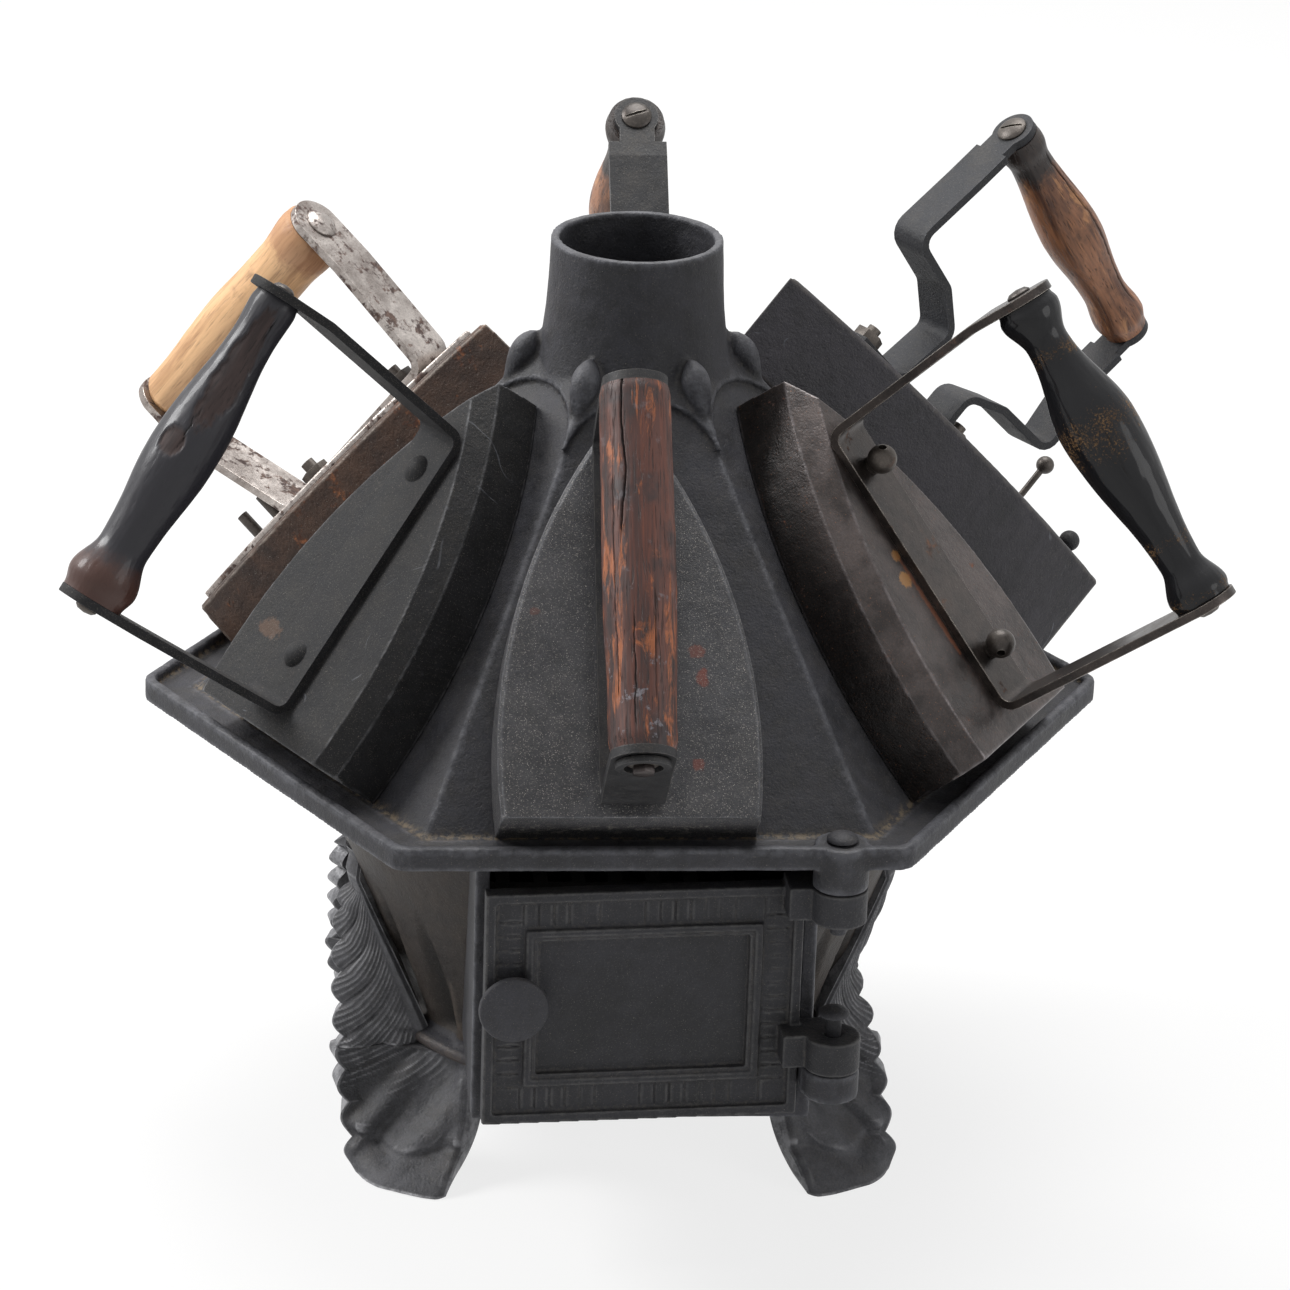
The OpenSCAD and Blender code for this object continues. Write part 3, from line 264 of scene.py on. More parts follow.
def texture(vector, scale, detail=3.0, roughness=0.55, distortion=0.0):
    values = {"Vector": vector, "Scale": scale, "Detail": detail, "Roughness": roughness}
    return add(home(vector), "TexNoise", None, dict(values, Distortion=distortion)).outputs["Fac"]


def ramp(value, low, high, out_low=0.0, out_high=1.0):
    """A soft step from one output to another, between two marks of a value."""
    marks = {"From Min": low, "From Max": high, "To Min": out_low, "To Max": out_high}
    kind = {"interpolation_type": "SMOOTHSTEP"}
    return add(home(value), "MapRange", kind, dict(marks, Value=value)).outputs[0]


def maths(operation, a, b=0.0, clamp=False):
    kind = {"operation": operation, "use_clamp": clamp}
    return add(home(a, b), "Math", kind, {0: a, 1: b}).outputs[0]


def plus(a, b):
    return maths("ADD", a, b)


def minus(a, b):
    return maths("SUBTRACT", a, b)


def times(*factors):
    """The product of two or more values."""
    product = factors[0]
    for factor in factors[1:]:
        product = maths("MULTIPLY", product, factor)
    return product


def height_of(where):
    """The Z part of a place."""
    return add(home(where), "SeparateXYZ", None, {0: where}).outputs["Z"]


# %% Casting skin and rubbed edges
def casting_skin(where, grain):
    """Blotches of tone, a sandy grain and shallow pits."""
    tree = home(where)
    blotches = plus(times(texture(where, 26, 5, 0.6), 0.6), times(texture(where, 140, 4, 0.6), 0.4))
    fine = texture(where, grain, 3, 0.6)
    lumps = texture(where, 170, 4, 0.55)
    cells = {"Vector": where, "Scale": 330.0, "Smoothness": 0.4}
    pits = add(tree, "TexVoronoi", {"feature": "SMOOTH_F1"}, cells).outputs["Distance"]
    height = plus(times(fine, 0.45), plus(times(lumps, 0.9), times(ramp(pits, 0.0, 0.35), 0.18)))
    return {"Tone": ramp(blotches, 0.36, 0.64), "Grain": fine, "Height": height}


def rubbed_edges(where, radius, breakup):
    """Edges, found where a rounded normal leaves the true one."""
    tree = home(where)
    rounded = add(tree, "Bevel", {"samples": 6}, {"Radius": radius}).outputs[0]
    true = add(tree, "NewGeometry").outputs["Normal"]
    along = add(tree, "VectorMath", {"operation": "DOT_PRODUCT"}, {0: rounded, 1: true}).outputs["Value"]
    edge = ramp(minus(1.0, along), 0.01, 0.16)
    worn = ramp(texture(where, 190, 6, 0.7), 0.36, 0.62)
    kept = plus(times(worn, breakup), minus(1.0, breakup))
    return {"Mask": maths("MULTIPLY", edge, kept, True)}


# %% Specks, dust and rust
def pale_specks(where, scale, amount):
    """Sparse pale specks of many sizes, and a dense scatter of fine grains."""
    tree = home(where)
    cells = add(tree, "TexVoronoi", None, {"Vector": where, "Scale": scale}).outputs
    chance = add(tree, "SeparateColor", None, {0: cells["Color"]}).outputs
    size = times(maths("POWER", chance[0], 6.0), times(amount, 0.7))
    near = ramp(minus(size, cells["Distance"]), 0.0, 0.05)
    strength = plus(times(chance[1], 0.7), 0.2)
    fine = add(tree, "TexVoronoi", None, {"Vector": where, "Scale": 2300.0}).outputs
    luck = add(tree, "SeparateColor", None, {0: fine["Color"]}).outputs[0]
    core = ramp(fine["Distance"], 0.15, 0.6, 1.0, 0.0)
    return {"Mask": times(near, strength), "Grains": times(maths("POWER", luck, 6.0), core)}


def settled_dust(where, amount):
    """Dust where a surface faces up, in uneven drifts."""
    tree = home(where)
    upward = ramp(height_of(add(tree, "NewGeometry").outputs["Normal"]), 0.15, 0.95)
    drift = ramp(texture(where, 75, 8, 0.72), 0.38, 0.72)
    sand = ramp(texture(where, 1500, 2, 0.5), 0.42, 0.68)
    patch = times(drift, plus(times(sand, 0.7), 0.3))
    return {"Mask": maths("MULTIPLY", times(upward, patch), amount, True)}


def rust_patches(where, amount, scale):
    """Rust patches with crumbling borders, and how bright the rust is."""
    field = plus(times(texture(where, scale, 9, 0.68), 0.75), times(texture(where, 480, 3, 0.6), 0.25))
    level = minus(0.78, times(amount, 0.5))
    bright = ramp(texture(where, 330, 5, 0.65), 0.42, 0.66)
    return {"Mask": ramp(minus(field, level), -0.03, 0.06), "Bright": bright}


# %% Scratches and wood grain
def hair_scratches(where, scale, width):
    """Fine curved hair scratches."""
    off = maths("ABSOLUTE", minus(texture(where, scale, 1.5, 0.4, 0.6), 0.5))
    broken = ramp(texture(where, 60, 3, 0.6), 0.56, 0.66)
    return {"Mask": times(maths("LESS_THAN", off, width), broken)}


def wood_grain(where, stretch):
    """Grain along Z: its figure, its dark pores and its height."""
    tree = home(where)
    scale = add(tree, "CombineXYZ", None, {0: 1.0, 1: 1.0, 2: stretch}).outputs[0]
    long = add(tree, "VectorMath", {"operation": "MULTIPLY"}, {0: where, 1: scale}).outputs[0]
    figure = plus(times(texture(long, 120, 4, 0.6, 1.2), 0.65), times(texture(long, 620, 3, 0.6, 0.4), 0.35))
    pores = ramp(texture(long, 1500, 2, 0.5), 0.58, 0.7)
    height = minus(times(figure, 0.5), times(pores, 0.4))
    return {"Figure": ramp(figure, 0.34, 0.66), "Pores": pores, "Height": height}


# %% Build the effects once each
effects = {
    "skin": new_group("casting skin", {"Grain": 900.0}, casting_skin),
    "edges": new_group("rubbed edges", {"Radius": 0.0012, "Breakup": 0.5}, rubbed_edges),
    "specks": new_group("specks", {"Scale": 420.0, "Amount": 0.5}, pale_specks),
    "dust": new_group("settled dust", {"Amount": 0.5}, settled_dust),
    "rust": new_group("rust", {"Amount": 0.3, "Scale": 55.0}, rust_patches),
    "scratches": new_group("scratches", {"Scale": 30.0, "Width": 0.004}, hair_scratches),
    "wood": new_group("wood grain", {"Stretch": 0.06}, wood_grain),
}
print("effects", sorted(effects))

# %% [markdown]
# The iron finishes
#
# One recipe serves all the iron: stove black, smoked pot, rusty and polished
# flatirons, rubbed straps. Dark and light tones are blotched over each other,
# then come rust, dust, specks, scratches and rubbed edges, each with its own
# colour and amount. Some finishes also get painted shade: a near black low on
# the sides of an iron, and in the grooves of the pot's folds. Roughness follows
# the same masks, because rust and dust are matt and rubbed edges are shiny.
# Colours are written as they look on a screen, from 0 to 255.

# %% Colours and how they mix
def tone(r, g, b):
    """A colour written as screen values from 0 to 255."""
    def linear(v):
        v = v / 255
        return v / 12.92 if v <= 0.04045 else ((v + 0.055) / 1.055) ** 2.4

    return (linear(r), linear(g), linear(b), 1)


def place_vector(tree, own):
    """Where a pattern is: in the piece's own frame, or in the CAD's frame."""
    if own:
        return add(tree, "Attribute", {"attribute_name": "own_place"}).outputs["Vector"]
    return add(tree, "TexCoord").outputs["Object"]


def effect(tree, name, **inputs):
    return add(tree, "Group", {"node_tree": effects[name]}, inputs).outputs


def blend_colour(factor, a, b):
    """Mixes two colours, each a socket or screen values, by the node's inputs 6 and 7."""
    a, b = (tone(*c) if isinstance(c, tuple) else c for c in (a, b))
    return add(home(factor, a, b), "Mix", {"data_type": "RGBA"}, {"Factor": factor, 6: a, 7: b}).outputs[2]


def blend_value(factor, a, b):
    """Mixes two values by the node's inputs 2 and 3."""
    return add(home(factor), "Mix", None, {"Factor": factor, 2: a, 3: b}).outputs[0]


# %% A material laid on coat by coat
class Coats:
    """The colour, roughness and metalness of a new material, laid on coat by coat."""

    def __init__(self, name, own):
        self.material = bpy.data.materials.new(name)
        self.material.use_nodes = True
        self.tree = self.material.node_tree
        self.tree.nodes.clear()
        self.where = place_vector(self.tree, own)

    def cover(self, mask, colour, rough=None, metal=None):
        """Lays one more coat where the mask is 1."""
        self.colour = blend_colour(mask, self.colour, colour)
        if rough is not None:
            self.rough = blend_value(mask, self.rough, rough)
        if metal is not None:
            self.metal = blend_value(mask, self.metal, metal)

    def done(self, bump, inputs):
        """Ends the material with its shader; bump is a strength, a depth and a height."""
        relief = dict(zip(("Strength", "Distance", "Height"), bump))
        normal = add(self.tree, "Bump", None, relief).outputs[0]
        coats = {"Base Color": self.colour, "Roughness": self.rough, "Metallic": self.metal}
        shader = add(self.tree, "BsdfPrincipled", None, {"Normal": normal, **coats, **inputs})
        add(self.tree, "OutputMaterial", None, {"Surface": shader.outputs[0]})
        return self.material


# %% Recipe for iron
# what a finish of iron has unless it says otherwise; an edge of 0 leaves the worn
# edges to the ridge and hollow that the mesh of a casting stores
IRON = {
    "own": True, "dark": (38, 38, 41), "light": (58, 58, 63),
    "grain": 1100.0, "bump": 0.8, "depth": 0.0007, "specular": 0.3,
    "rust": 0.0, "rust_dark": (62, 40, 32), "rust_light": (118, 72, 48), "rust_scale": 55.0,
    "dust": 0.28, "dust_colour": (104, 98, 90), "corner": 0.0,
    "specks": 0.35, "speck_colour": (128, 122, 114), "speck_scale": 1300.0, "grains": 0.3,
    "ridge": 0.4, "hollow": 0.3, "chips": 0.0, "spots": (), "soot": 0.0,
    # painted shade low on an iron's sides stays off unless a finish gives its two heights
    "black_foot": 0.0, "dim_below": None, "scratches": 0.0, "scratch_colour": (104, 106, 112),
    "edge": 0.0, "edge_colour": (108, 109, 115), "edge_radius": 0.001, "breakup": 0.7,
    "rough": 0.56, "rough_edge": 0.4, "metal": 0.0, "metal_edge": 0.35,
}


def stored(tree, name):
    """A value that the mesh of a piece keeps for its finish."""
    return add(tree, "Attribute", {"attribute_name": name}).outputs["Fac"]


def spot_mask(where, x, y, across, along):
    """A ragged oval on an iron, given in millimetres of the iron's own frame."""
    tree = home(where)
    scale = (1 / (across * MM), 1 / (along * MM), 0)
    shift = (-x / across, -y / along, 0)
    place = add(tree, "VectorMath", {"operation": "MULTIPLY_ADD"}, {0: where, 1: scale, 2: shift}).outputs[0]
    reach = add(tree, "VectorMath", {"operation": "LENGTH"}, {0: place}).outputs["Value"]
    ragged = plus(reach, times(texture(where, 330, 6, 0.7), 1.6))
    upper = ramp(height_of(where), 0.012, 0.018)
    return times(ramp(ragged, 1.45, 1.75, 1.0, 0.0), upper)


def iron_finish(name, changes):
    """Builds one finish: the recipe with the changes that its piece asks for."""
    look = SimpleNamespace(**{**IRON, **changes})
    coats = Coats(name, look.own)
    tree, where = coats.tree, coats.where
    skin = effect(tree, "skin", Vector=where, Grain=look.grain)
    colour = blend_colour(skin["Tone"], look.dark, look.light)
    grainy = blend_colour(ramp(skin["Grain"], 0.35, 0.7), (16, 16, 18), colour)
    coats.colour = blend_colour(0.75, grainy, colour)
    coats.rough = blend_value(skin["Tone"], look.rough - 0.05, look.rough + 0.07)
    coats.metal = look.metal
    if look.black_foot:
        coats.cover(ramp(height_of(where), look.black_foot, look.black_foot + 0.001, 1.0, 0.0), (50, 50, 55))
    # painted shade in the pot's folds, darkest where the folds are deepest
    if look.soot:
        coats.cover(times(stored(tree, "soot"), look.soot), (16, 14, 13))
    # painted shade: the lower sides of an iron darken towards near black, fully below the first height and
    # fading out by the second
    if look.dim_below:
        coats.cover(ramp(height_of(where), *look.dim_below, 0.9, 0.0), (18, 16, 16))
    if look.rust:
        rust = effect(tree, "rust", Vector=where, Amount=look.rust, Scale=look.rust_scale)
        shade = blend_colour(rust["Bright"], look.rust_dark, look.rust_light)
        coats.cover(rust["Mask"], shade, rough=0.82, metal=0.0)
    for oval, shade, strength in look.spots:
        coats.cover(times(spot_mask(where, *oval), strength), shade, metal=0.0)
    if look.edge:
        edges = effect(tree, "edges", Vector=where, Radius=look.edge_radius, Breakup=look.breakup)
        worn = times(edges["Mask"], look.edge)
    else:
        broken = ramp(texture(where, 150, 7, 0.72), 0.38, 0.6, 0.25, 1.0)
        worn = times(stored(tree, "ridge"), broken, look.ridge)
    coats.cover(worn, look.edge_colour, look.rough_edge, look.metal_edge)
    if look.scratches:
        lines = effect(tree, "scratches", Vector=where)["Mask"]
        coats.cover(times(lines, look.scratches), look.scratch_colour)
    sand = ramp(texture(where, 420, 4, 0.7), 0.42, 0.6)
    drift = times(stored(tree, "hollow"), sand, look.hollow)
    settled = effect(tree, "dust", Vector=where, Amount=look.dust)["Mask"]
    coats.cover(maths("MAXIMUM", settled, drift), look.dust_colour, rough=0.9)
    if look.corner:
        coats.cover(times(stored(tree, "corner"), sand, look.corner), (122, 108, 88))
    if look.chips:
        parts = add(tree, "SeparateXYZ", None, {0: where}).outputs
        heel = ramp(parts["Y"], 0.0006, 0.0014, 1.0, 0.0)
        band = times(ramp(parts["Z"], 0.004, 0.009), ramp(parts["Z"], 0.016, 0.022, 1.0, 0.0))
        flakes = ramp(texture(where, 210, 8, 0.75, 0.8), 0.54, 0.6, 0.0, look.chips)
        coats.cover(times(heel, band, flakes), (132, 127, 122))
    specks = effect(tree, "specks", Vector=where, Scale=look.speck_scale, Amount=look.specks)
    scatter = times(specks["Grains"], look.grains)
    coats.cover(maths("MAXIMUM", specks["Mask"], scatter), look.speck_colour)
    return coats.done((look.bump, look.depth, skin["Height"]), {"Specular IOR Level": look.specular})


# %% [markdown]
# The wooden grips
#
# Wood is a grain stretched along the grip, with dark pores. The grips are old: the
# dark ones are cracked along the grain, the black ones have lost their lacquer
# where hands and blows wore it. Cracks and bare patches are carved into the mesh,
# which stores them as attributes, and the finish colours them from there, so the
# colour always sits exactly in the carved shape.

# %% Recipe for wood
# what a wood has unless it says otherwise
WOOD = {
    "bump": 0.35, "pores": 0.65, "stain": None, "stain_share": 0.0, "streak": None, "streak_share": 0.0,
    "scuffs": 0.0, "top": None, "foot": None, "lacquer": None, "coat": 0.0, "shine": 0.4, "fine_rub": False,
}


def ragged_height(where):
    """Height along a grip, torn by up to two centimetres."""
    return plus(height_of(where), times(texture(where, 120, 6, 0.7), 0.02))


def wood_finish(name, changes):
    """Builds one wood; top and foot are a height, a colour and how much of it."""
    look = SimpleNamespace(**{**WOOD, **changes})
    coats = Coats(name, True)
    tree, where = coats.tree, coats.where
    grain = effect(tree, "wood", Vector=where)
    skin = effect(tree, "skin", Vector=where, Grain=1200.0)
    coats.colour = blend_colour(grain["Figure"], look.dark, look.light)
    coats.rough = blend_value(skin["Tone"], look.rough - 0.06, look.rough + 0.08)
    coats.metal = 0.0
    coats.cover(times(grain["Pores"], look.pores), look.deep)
    if look.stain:
        patch = ramp(texture(where, 34, 6, 0.6), 0.62 - look.stain_share, 0.78 - look.stain_share)
        coats.cover(times(patch, 0.85), look.stain)
    if look.streak:
        squash = add(tree, "VectorMath", {"operation": "MULTIPLY"}, {0: where, 1: (1, 1, 0.22)}).outputs[0]
        shreds = texture(squash, 150, 8, 0.7, 0.6)
        coats.cover(ramp(shreds, 0.6 - look.streak_share, 0.7 - look.streak_share, 0, 0.85), look.streak)
    if look.scuffs:
        lower = ramp(height_of(where), 0.03, 0.075, 1.0, 0.25)
        rubbed = ramp(texture(where, 95, 8, 0.72), 0.585, 0.65)
        coats.cover(times(rubbed, lower, look.scuffs), (128, 126, 132))
    if look.top:
        start, shade, strength = look.top
        coats.cover(ramp(ragged_height(where), start, start + 0.006, 0.0, strength), shade)
    coat = 0.0
    if look.lacquer:
        bare = stored(tree, "bare")
        if look.fine_rub:
            crumbs = plus(texture(where, 1000, 7, 0.8), times(bare, 0.14))
            bare = times(ramp(crumbs, 0.63, 0.7, 0.0, 0.85), ramp(bare, 0.02, 0.3))
        coats.colour = blend_colour(bare, look.lacquer, coats.colour)
        coats.rough = blend_value(bare, coats.rough, 0.72)
        coat = times(minus(1.0, bare), look.coat)
    if look.foot:
        stop, shade, strength = look.foot
        coats.cover(ramp(ragged_height(where), stop, stop + 0.012, strength, 0.0), shade)
    coats.cover(stored(tree, "crack"), look.crack, rough=0.9)
    gloss = {"Specular IOR Level": look.shine, "Coat Weight": coat, "Coat Roughness": 0.12}
    return coats.done((look.bump * (0.5 if look.lacquer else 1), 0.0008, grain["Height"]), gloss)


# %% The iron finishes by name
looks = {
    "stove black": dict(corner=0.8, ridge=0.42, hollow=0.15),
    "fittings black": dict(edge=0.7, grains=0.3),
    "leg black": dict(
        dark=(65, 65, 68), light=(100, 100, 104), dust=0.4,
        ridge=0.8, edge_colour=(150, 150, 153), hollow=0.1,
    ),
    "door black": dict(
        dark=(32, 32, 35), light=(49, 49, 53), dust=0.35,
        ridge=0.3, edge_colour=(110, 109, 108), hollow=0.2, dust_colour=(104, 99, 92),
    ),
    "smoked pot": dict(
        dark=(38, 33, 30), light=(60, 53, 48), dust=0.25, black_foot=0.0538,
        dust_colour=(88, 80, 70), rust=0.1, rust_dark=(56, 38, 32), rust_light=(96, 52, 42),
        # painted shade in the grooves of the pot's folds
        specks=0.3, soot=0.9, ridge=0.5, edge_colour=(98, 88, 80), hollow=0.1,
    ),
    "speckled iron": dict(
        dark=(53, 53, 56), light=(76, 76, 79), dust=0.65,
        dust_colour=(108, 106, 104), specks=0.5, speck_colour=(176, 170, 162), speck_scale=1500.0,
        grains=1.0, grain=1800.0, ridge=0.45, edge_colour=(146, 147, 152), chips=0.9,
        spots=(
            ((26.8, 66.6, 4, 3), (120, 66, 52), 0.6), ((28.5, 56, 3, 5), (124, 62, 48), 0.7),
            ((26.5, 21, 3, 3), (116, 60, 48), 0.6), ((-36, 83, 2.5, 2), (108, 66, 56), 0.5),
        ),
    ),
    "dusty iron": dict(
        dark=(27, 27, 28), light=(41, 41, 43), dust=0.5,
        dust_colour=(80, 76, 71), specks=0.35, grains=0.45, scratches=0.5, ridge=0.5,
        edge_colour=(138, 138, 141), specular=0.2, rough=0.66,
        spots=(((-28, 36, 9, 5), (92, 70, 56), 0.6),),
    ),
    "plain grey iron": dict(dark=(40, 40, 42), light=(58, 58, 60), dust=0.4),
    "rust-browned iron": dict(
        # painted shade low on the sides of this iron, from 10 to 36 millimetres above its sole
        dark=(46, 41, 40), light=(86, 78, 76), rust=0.29, rust_scale=150.0, dim_below=(0.01, 0.036),
        rust_dark=(62, 43, 36), rust_light=(128, 76, 50), dust=0.2, dust_colour=(100, 82, 70),
        ridge=0.32, edge_colour=(166, 160, 162), rough=0.36, rough_edge=0.22, metal=0.45, metal_edge=0.9,
        specks=0.5, speck_colour=(126, 88, 64), specular=0.5, depth=0.0004, grains=0.3,
        spots=(
            ((-16, 86, 3.5, 3), (150, 104, 52), 0.8), ((-20, 76, 5, 4), (158, 112, 58), 0.9),
            ((-22, 34, 8, 9), (38, 34, 33), 0.7), ((-15, 60, 2, 30), (138, 78, 46), 0.55),
        ),
    ),
    "rusty ball": dict(
        dark=(46, 40, 40), light=(70, 60, 58), rust=0.25, metal=0.4, rough=0.36,
        rust_dark=(58, 40, 34), rust_light=(106, 62, 44), specular=0.5, depth=0.0003,
    ),
    "plated body": dict(
        dark=(56, 42, 36), light=(90, 68, 56), rust=0.42, rust_dark=(78, 50, 40),
        rust_light=(152, 98, 66), ridge=0.5, edge_colour=(186, 176, 166), specks=0.5, metal_edge=0.8,
    ),
    "box black": dict(
        dark=(44, 43, 47), light=(66, 64, 69), dust=0.2, scratches=0.7,
        specks=0.3, ridge=0.35, edge_colour=(104, 98, 92), rough=0.5,
    ),
    "black bar": dict(dark=(30, 31, 34), light=(44, 45, 49), edge=0.7, edge_radius=0.0006),
    "black strap": dict(
        dark=(32, 32, 34), light=(47, 47, 49), rust=0.1, rust_dark=(50, 42, 39),
        rust_light=(84, 62, 52), edge=0.7, edge_radius=0.0006, edge_colour=(124, 121, 118),
        metal=0.15, metal_edge=0.7, rough=0.48, dust=0.4, depth=0.0003, grains=0.4,
    ),
    "dusty strap": dict(
        dark=(27, 27, 28), light=(43, 43, 45), dust=0.5, dust_colour=(80, 76, 71),
        edge=0.35, edge_radius=0.0006, rough=0.66, specular=0.2, depth=0.0004, grains=0.45,
    ),
    "worn strap": dict(
        dark=(40, 35, 33), light=(72, 64, 60), rust=0.34, rust_dark=(56, 41, 35),
        rust_light=(104, 70, 50), edge=0.95, edge_radius=0.0007, edge_colour=(205, 196, 186),
        metal=0.6, metal_edge=0.9, rough=0.33, dust=0.1, depth=0.0002, specular=0.5,
    ),
    "stained nickel": dict(
        dark=(146, 136, 130), light=(208, 200, 194), rust=0.5, rust_dark=(66, 50, 46),
        rust_light=(104, 82, 72), rust_scale=110.0, edge=0.6, edge_radius=0.0007,
        edge_colour=(222, 214, 206), metal=0.7, metal_edge=0.9, rough=0.34, dust=0.1, depth=0.0002,
        specks=0.5, speck_colour=(60, 50, 46), specular=0.5,
    ),
    "old fittings": dict(
        dark=(56, 51, 48), light=(92, 85, 79), rust=0.3, rust_dark=(62, 44, 37),
        rust_light=(104, 70, 52), edge=0.8, edge_radius=0.0005, edge_colour=(160, 154, 146),
        metal=0.55, metal_edge=0.85, rough=0.42, depth=0.0002, specular=0.5,
    ),
    "hidden iron": dict(
        own=False, dark=(20, 18, 17), light=(32, 29, 27), rust=0.1, dust=0.05,
    ),
}
finish = {name: iron_finish(name, changes) for name, changes in looks.items()}

# %% The wood finishes by name
woods = {
    "red-brown wood": dict(
        dark=(40, 27, 26), light=(98, 55, 42), deep=(20, 14, 14), crack=(14, 10, 10), rough=0.46, bump=1.0,
        stain=(34, 26, 27), stain_share=0.13, streak=(164, 96, 58), streak_share=0.06, scuffs=0.85,
    ),
    "black lacquer": dict(
        dark=(84, 64, 46), light=(132, 102, 70), deep=(40, 32, 26), crack=(14, 11, 10), rough=0.45,
        lacquer=(14, 14, 17), coat=0.35, shine=0.12, fine_rub=True,
    ),
    "rubbed lacquer": dict(
        dark=(42, 36, 36), light=(70, 58, 56), deep=(30, 26, 25), crack=(10, 8, 8), rough=0.42,
        lacquer=(36, 35, 40), coat=0.16, shine=0.28, foot=(0.022, (74, 46, 36), 0.75),
    ),
    "pale wood": dict(
        dark=(172, 130, 92), light=(224, 180, 134), deep=(100, 66, 44), crack=(52, 32, 22), rough=0.5,
        stain=(118, 82, 60), stain_share=0.06, top=(0.108, (140, 90, 64), 0.5), pores=0.3,
    ),
    "brown wood": dict(
        dark=(78, 50, 38), light=(154, 104, 72), deep=(36, 25, 21), crack=(16, 12, 11), rough=0.42, bump=0.7,
        stain=(46, 32, 27), stain_share=0.1, streak=(176, 126, 84), streak_share=0.04,
        top=(0.106, (30, 25, 24), 0.95),
    ),
}
finish.update({name: wood_finish(name, changes) for name, changes in woods.items()})
print("finishes", len(finish))

# %% [markdown]
# Working on meshes
#
# Every piece starts either from a primitive or from a copy of its CAD node. A copy
# from CAD has split edges between its faces, so its doubles are merged first. Cast
# pieces are then rebuilt as an even skin of small quads, which rounds their edges
# as sand casting does, and the skin is pushed in and out a little by a soft
# noise. Small turned and bent parts keep their faces and get narrow bevels.

# %% Modifiers, edit mode and copies of CAD nodes
def make_active(piece):
    bpy.ops.object.select_all(action="DESELECT")
    piece.select_set(True)
    bpy.context.view_layer.objects.active = piece


def modify(piece, kind, **settings):
    """Adds a modifier, sets it up and applies it."""
    make_active(piece)
    modifier = piece.modifiers.new(kind.lower(), kind)
    for key, value in settings.items():
        setattr(modifier, key, value)
    bpy.ops.object.modifier_apply(modifier=modifier.name)


def edit_all(piece, operator, **settings):
    """Runs one operator of edit mode on the whole piece."""
    make_active(piece)
    bpy.ops.object.mode_set(mode="EDIT")
    bpy.ops.mesh.select_all(action="SELECT")
    operator(**settings)
    bpy.ops.object.mode_set(mode="OBJECT")


def copy_node(node):
    """A merged copy of a CAD node, with faces outwards and no material yet."""
    source = frame["nodes"][node]
    piece = source.copy()
    piece.data = source.data.copy()
    piece.name = node + "_skin"
    piece.parent = None
    del piece["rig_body"]
    del piece["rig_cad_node"]
    bpy.context.scene.collection.objects.link(piece)
    make_active(piece)
    if piece.data.has_custom_normals:
        bpy.ops.mesh.customdata_custom_splitnormals_clear()
    edit_all(piece, bpy.ops.mesh.remove_doubles, threshold=0.00001)
    edit_all(piece, bpy.ops.mesh.normals_make_consistent, inside=False)
    piece.data.materials.clear()
    return piece


# %% Points as arrays, and values that a mesh stores
def read_vectors(vectors, name):
    flat = np.empty(len(vectors) * 3, np.float32)
    vectors.foreach_get(name, flat)
    return flat.reshape(-1, 3).astype(float)


def points(piece):
    """The vertices of a piece as an array."""
    return read_vectors(piece.data.vertices, "co")


def directions(piece):
    """The directions in which the surface faces at the vertices."""
    return read_vectors(piece.data.vertex_normals, "vector")


def move_points(piece, where):
    piece.data.vertices.foreach_set("co", np.asarray(where, np.float32).ravel())
    piece.data.update()


def remember(piece, name, values, kind="FLOAT"):
    """Stores one value or vector per vertex, for the finish to read."""
    attribute = piece.data.attributes.new(name, kind, "POINT")
    flat = np.asarray(values, np.float32).ravel()
    attribute.data.foreach_set("vector" if kind == "FLOAT_VECTOR" else "value", flat)


def in_frame(where, matrix):
    """World points as seen from a frame."""
    back = np.array(matrix.inverted())
    return where @ back[:3, :3].T + back[:3, 3]


def soft_noise(where, scale, seed=0.0):
    """Smooth noise from -1 to 1 at each point."""
    return np.array([noise.noise(Vector(p) * scale + Vector((seed, 0, 0))) for p in where])


# %% Castings and bevelled parts
def remember_relief(piece, full):
    """Stores which points stand out of their surroundings and which lie back."""
    ends = np.empty(len(piece.data.edges) * 2, np.int32)
    piece.data.edges.foreach_get("vertices", ends)
    a, b = ends[::2], ends[1::2]
    where = points(piece)
    count = len(where)
    links = np.bincount(ends, minlength=count)
    soft = where
    for _ in range(2):
        sums = [np.bincount(a, soft[b, i], count) + np.bincount(b, soft[a, i], count) for i in range(3)]
        soft = np.column_stack(sums) / links[:, None]
    out = np.einsum("ij,ij->i", where - soft, directions(piece)) / (full * MM)
    remember(piece, "ridge", np.clip(1.4 * (out - 0.4), 0, 1))
    remember(piece, "hollow", np.clip(1.4 * (-out - 0.4), 0, 1))


def cast_copy(node, voxel, uneven, smooth=2, keep=1.0, square=None, full=0.1):
    """A copy rebuilt as an even skin, squared to its own frame where it has one.

    The quads and the unevenness are in millimetres, keep is the share of faces that
    stay, and full is the relief, in millimetres, that counts as a whole ridge.
    """
    piece = copy_node(node)
    if square:
        piece.data.transform(square.inverted())
    modify(piece, "REMESH", mode="VOXEL", voxel_size=voxel * MM, use_smooth_shade=True)
    if square:
        piece.data.transform(square)
    modify(piece, "SMOOTH", factor=0.5, iterations=smooth)
    remember_relief(piece, full=full)
    where = points(piece)
    push = 0.7 * soft_noise(where, 90) + 0.3 * soft_noise(where, 300, 7.0)
    move_points(piece, where + directions(piece) * (uneven * MM * push)[:, None])
    if keep < 1:
        modify(piece, "DECIMATE", ratio=keep)
    make_active(piece)
    bpy.ops.object.shade_smooth()
    return piece


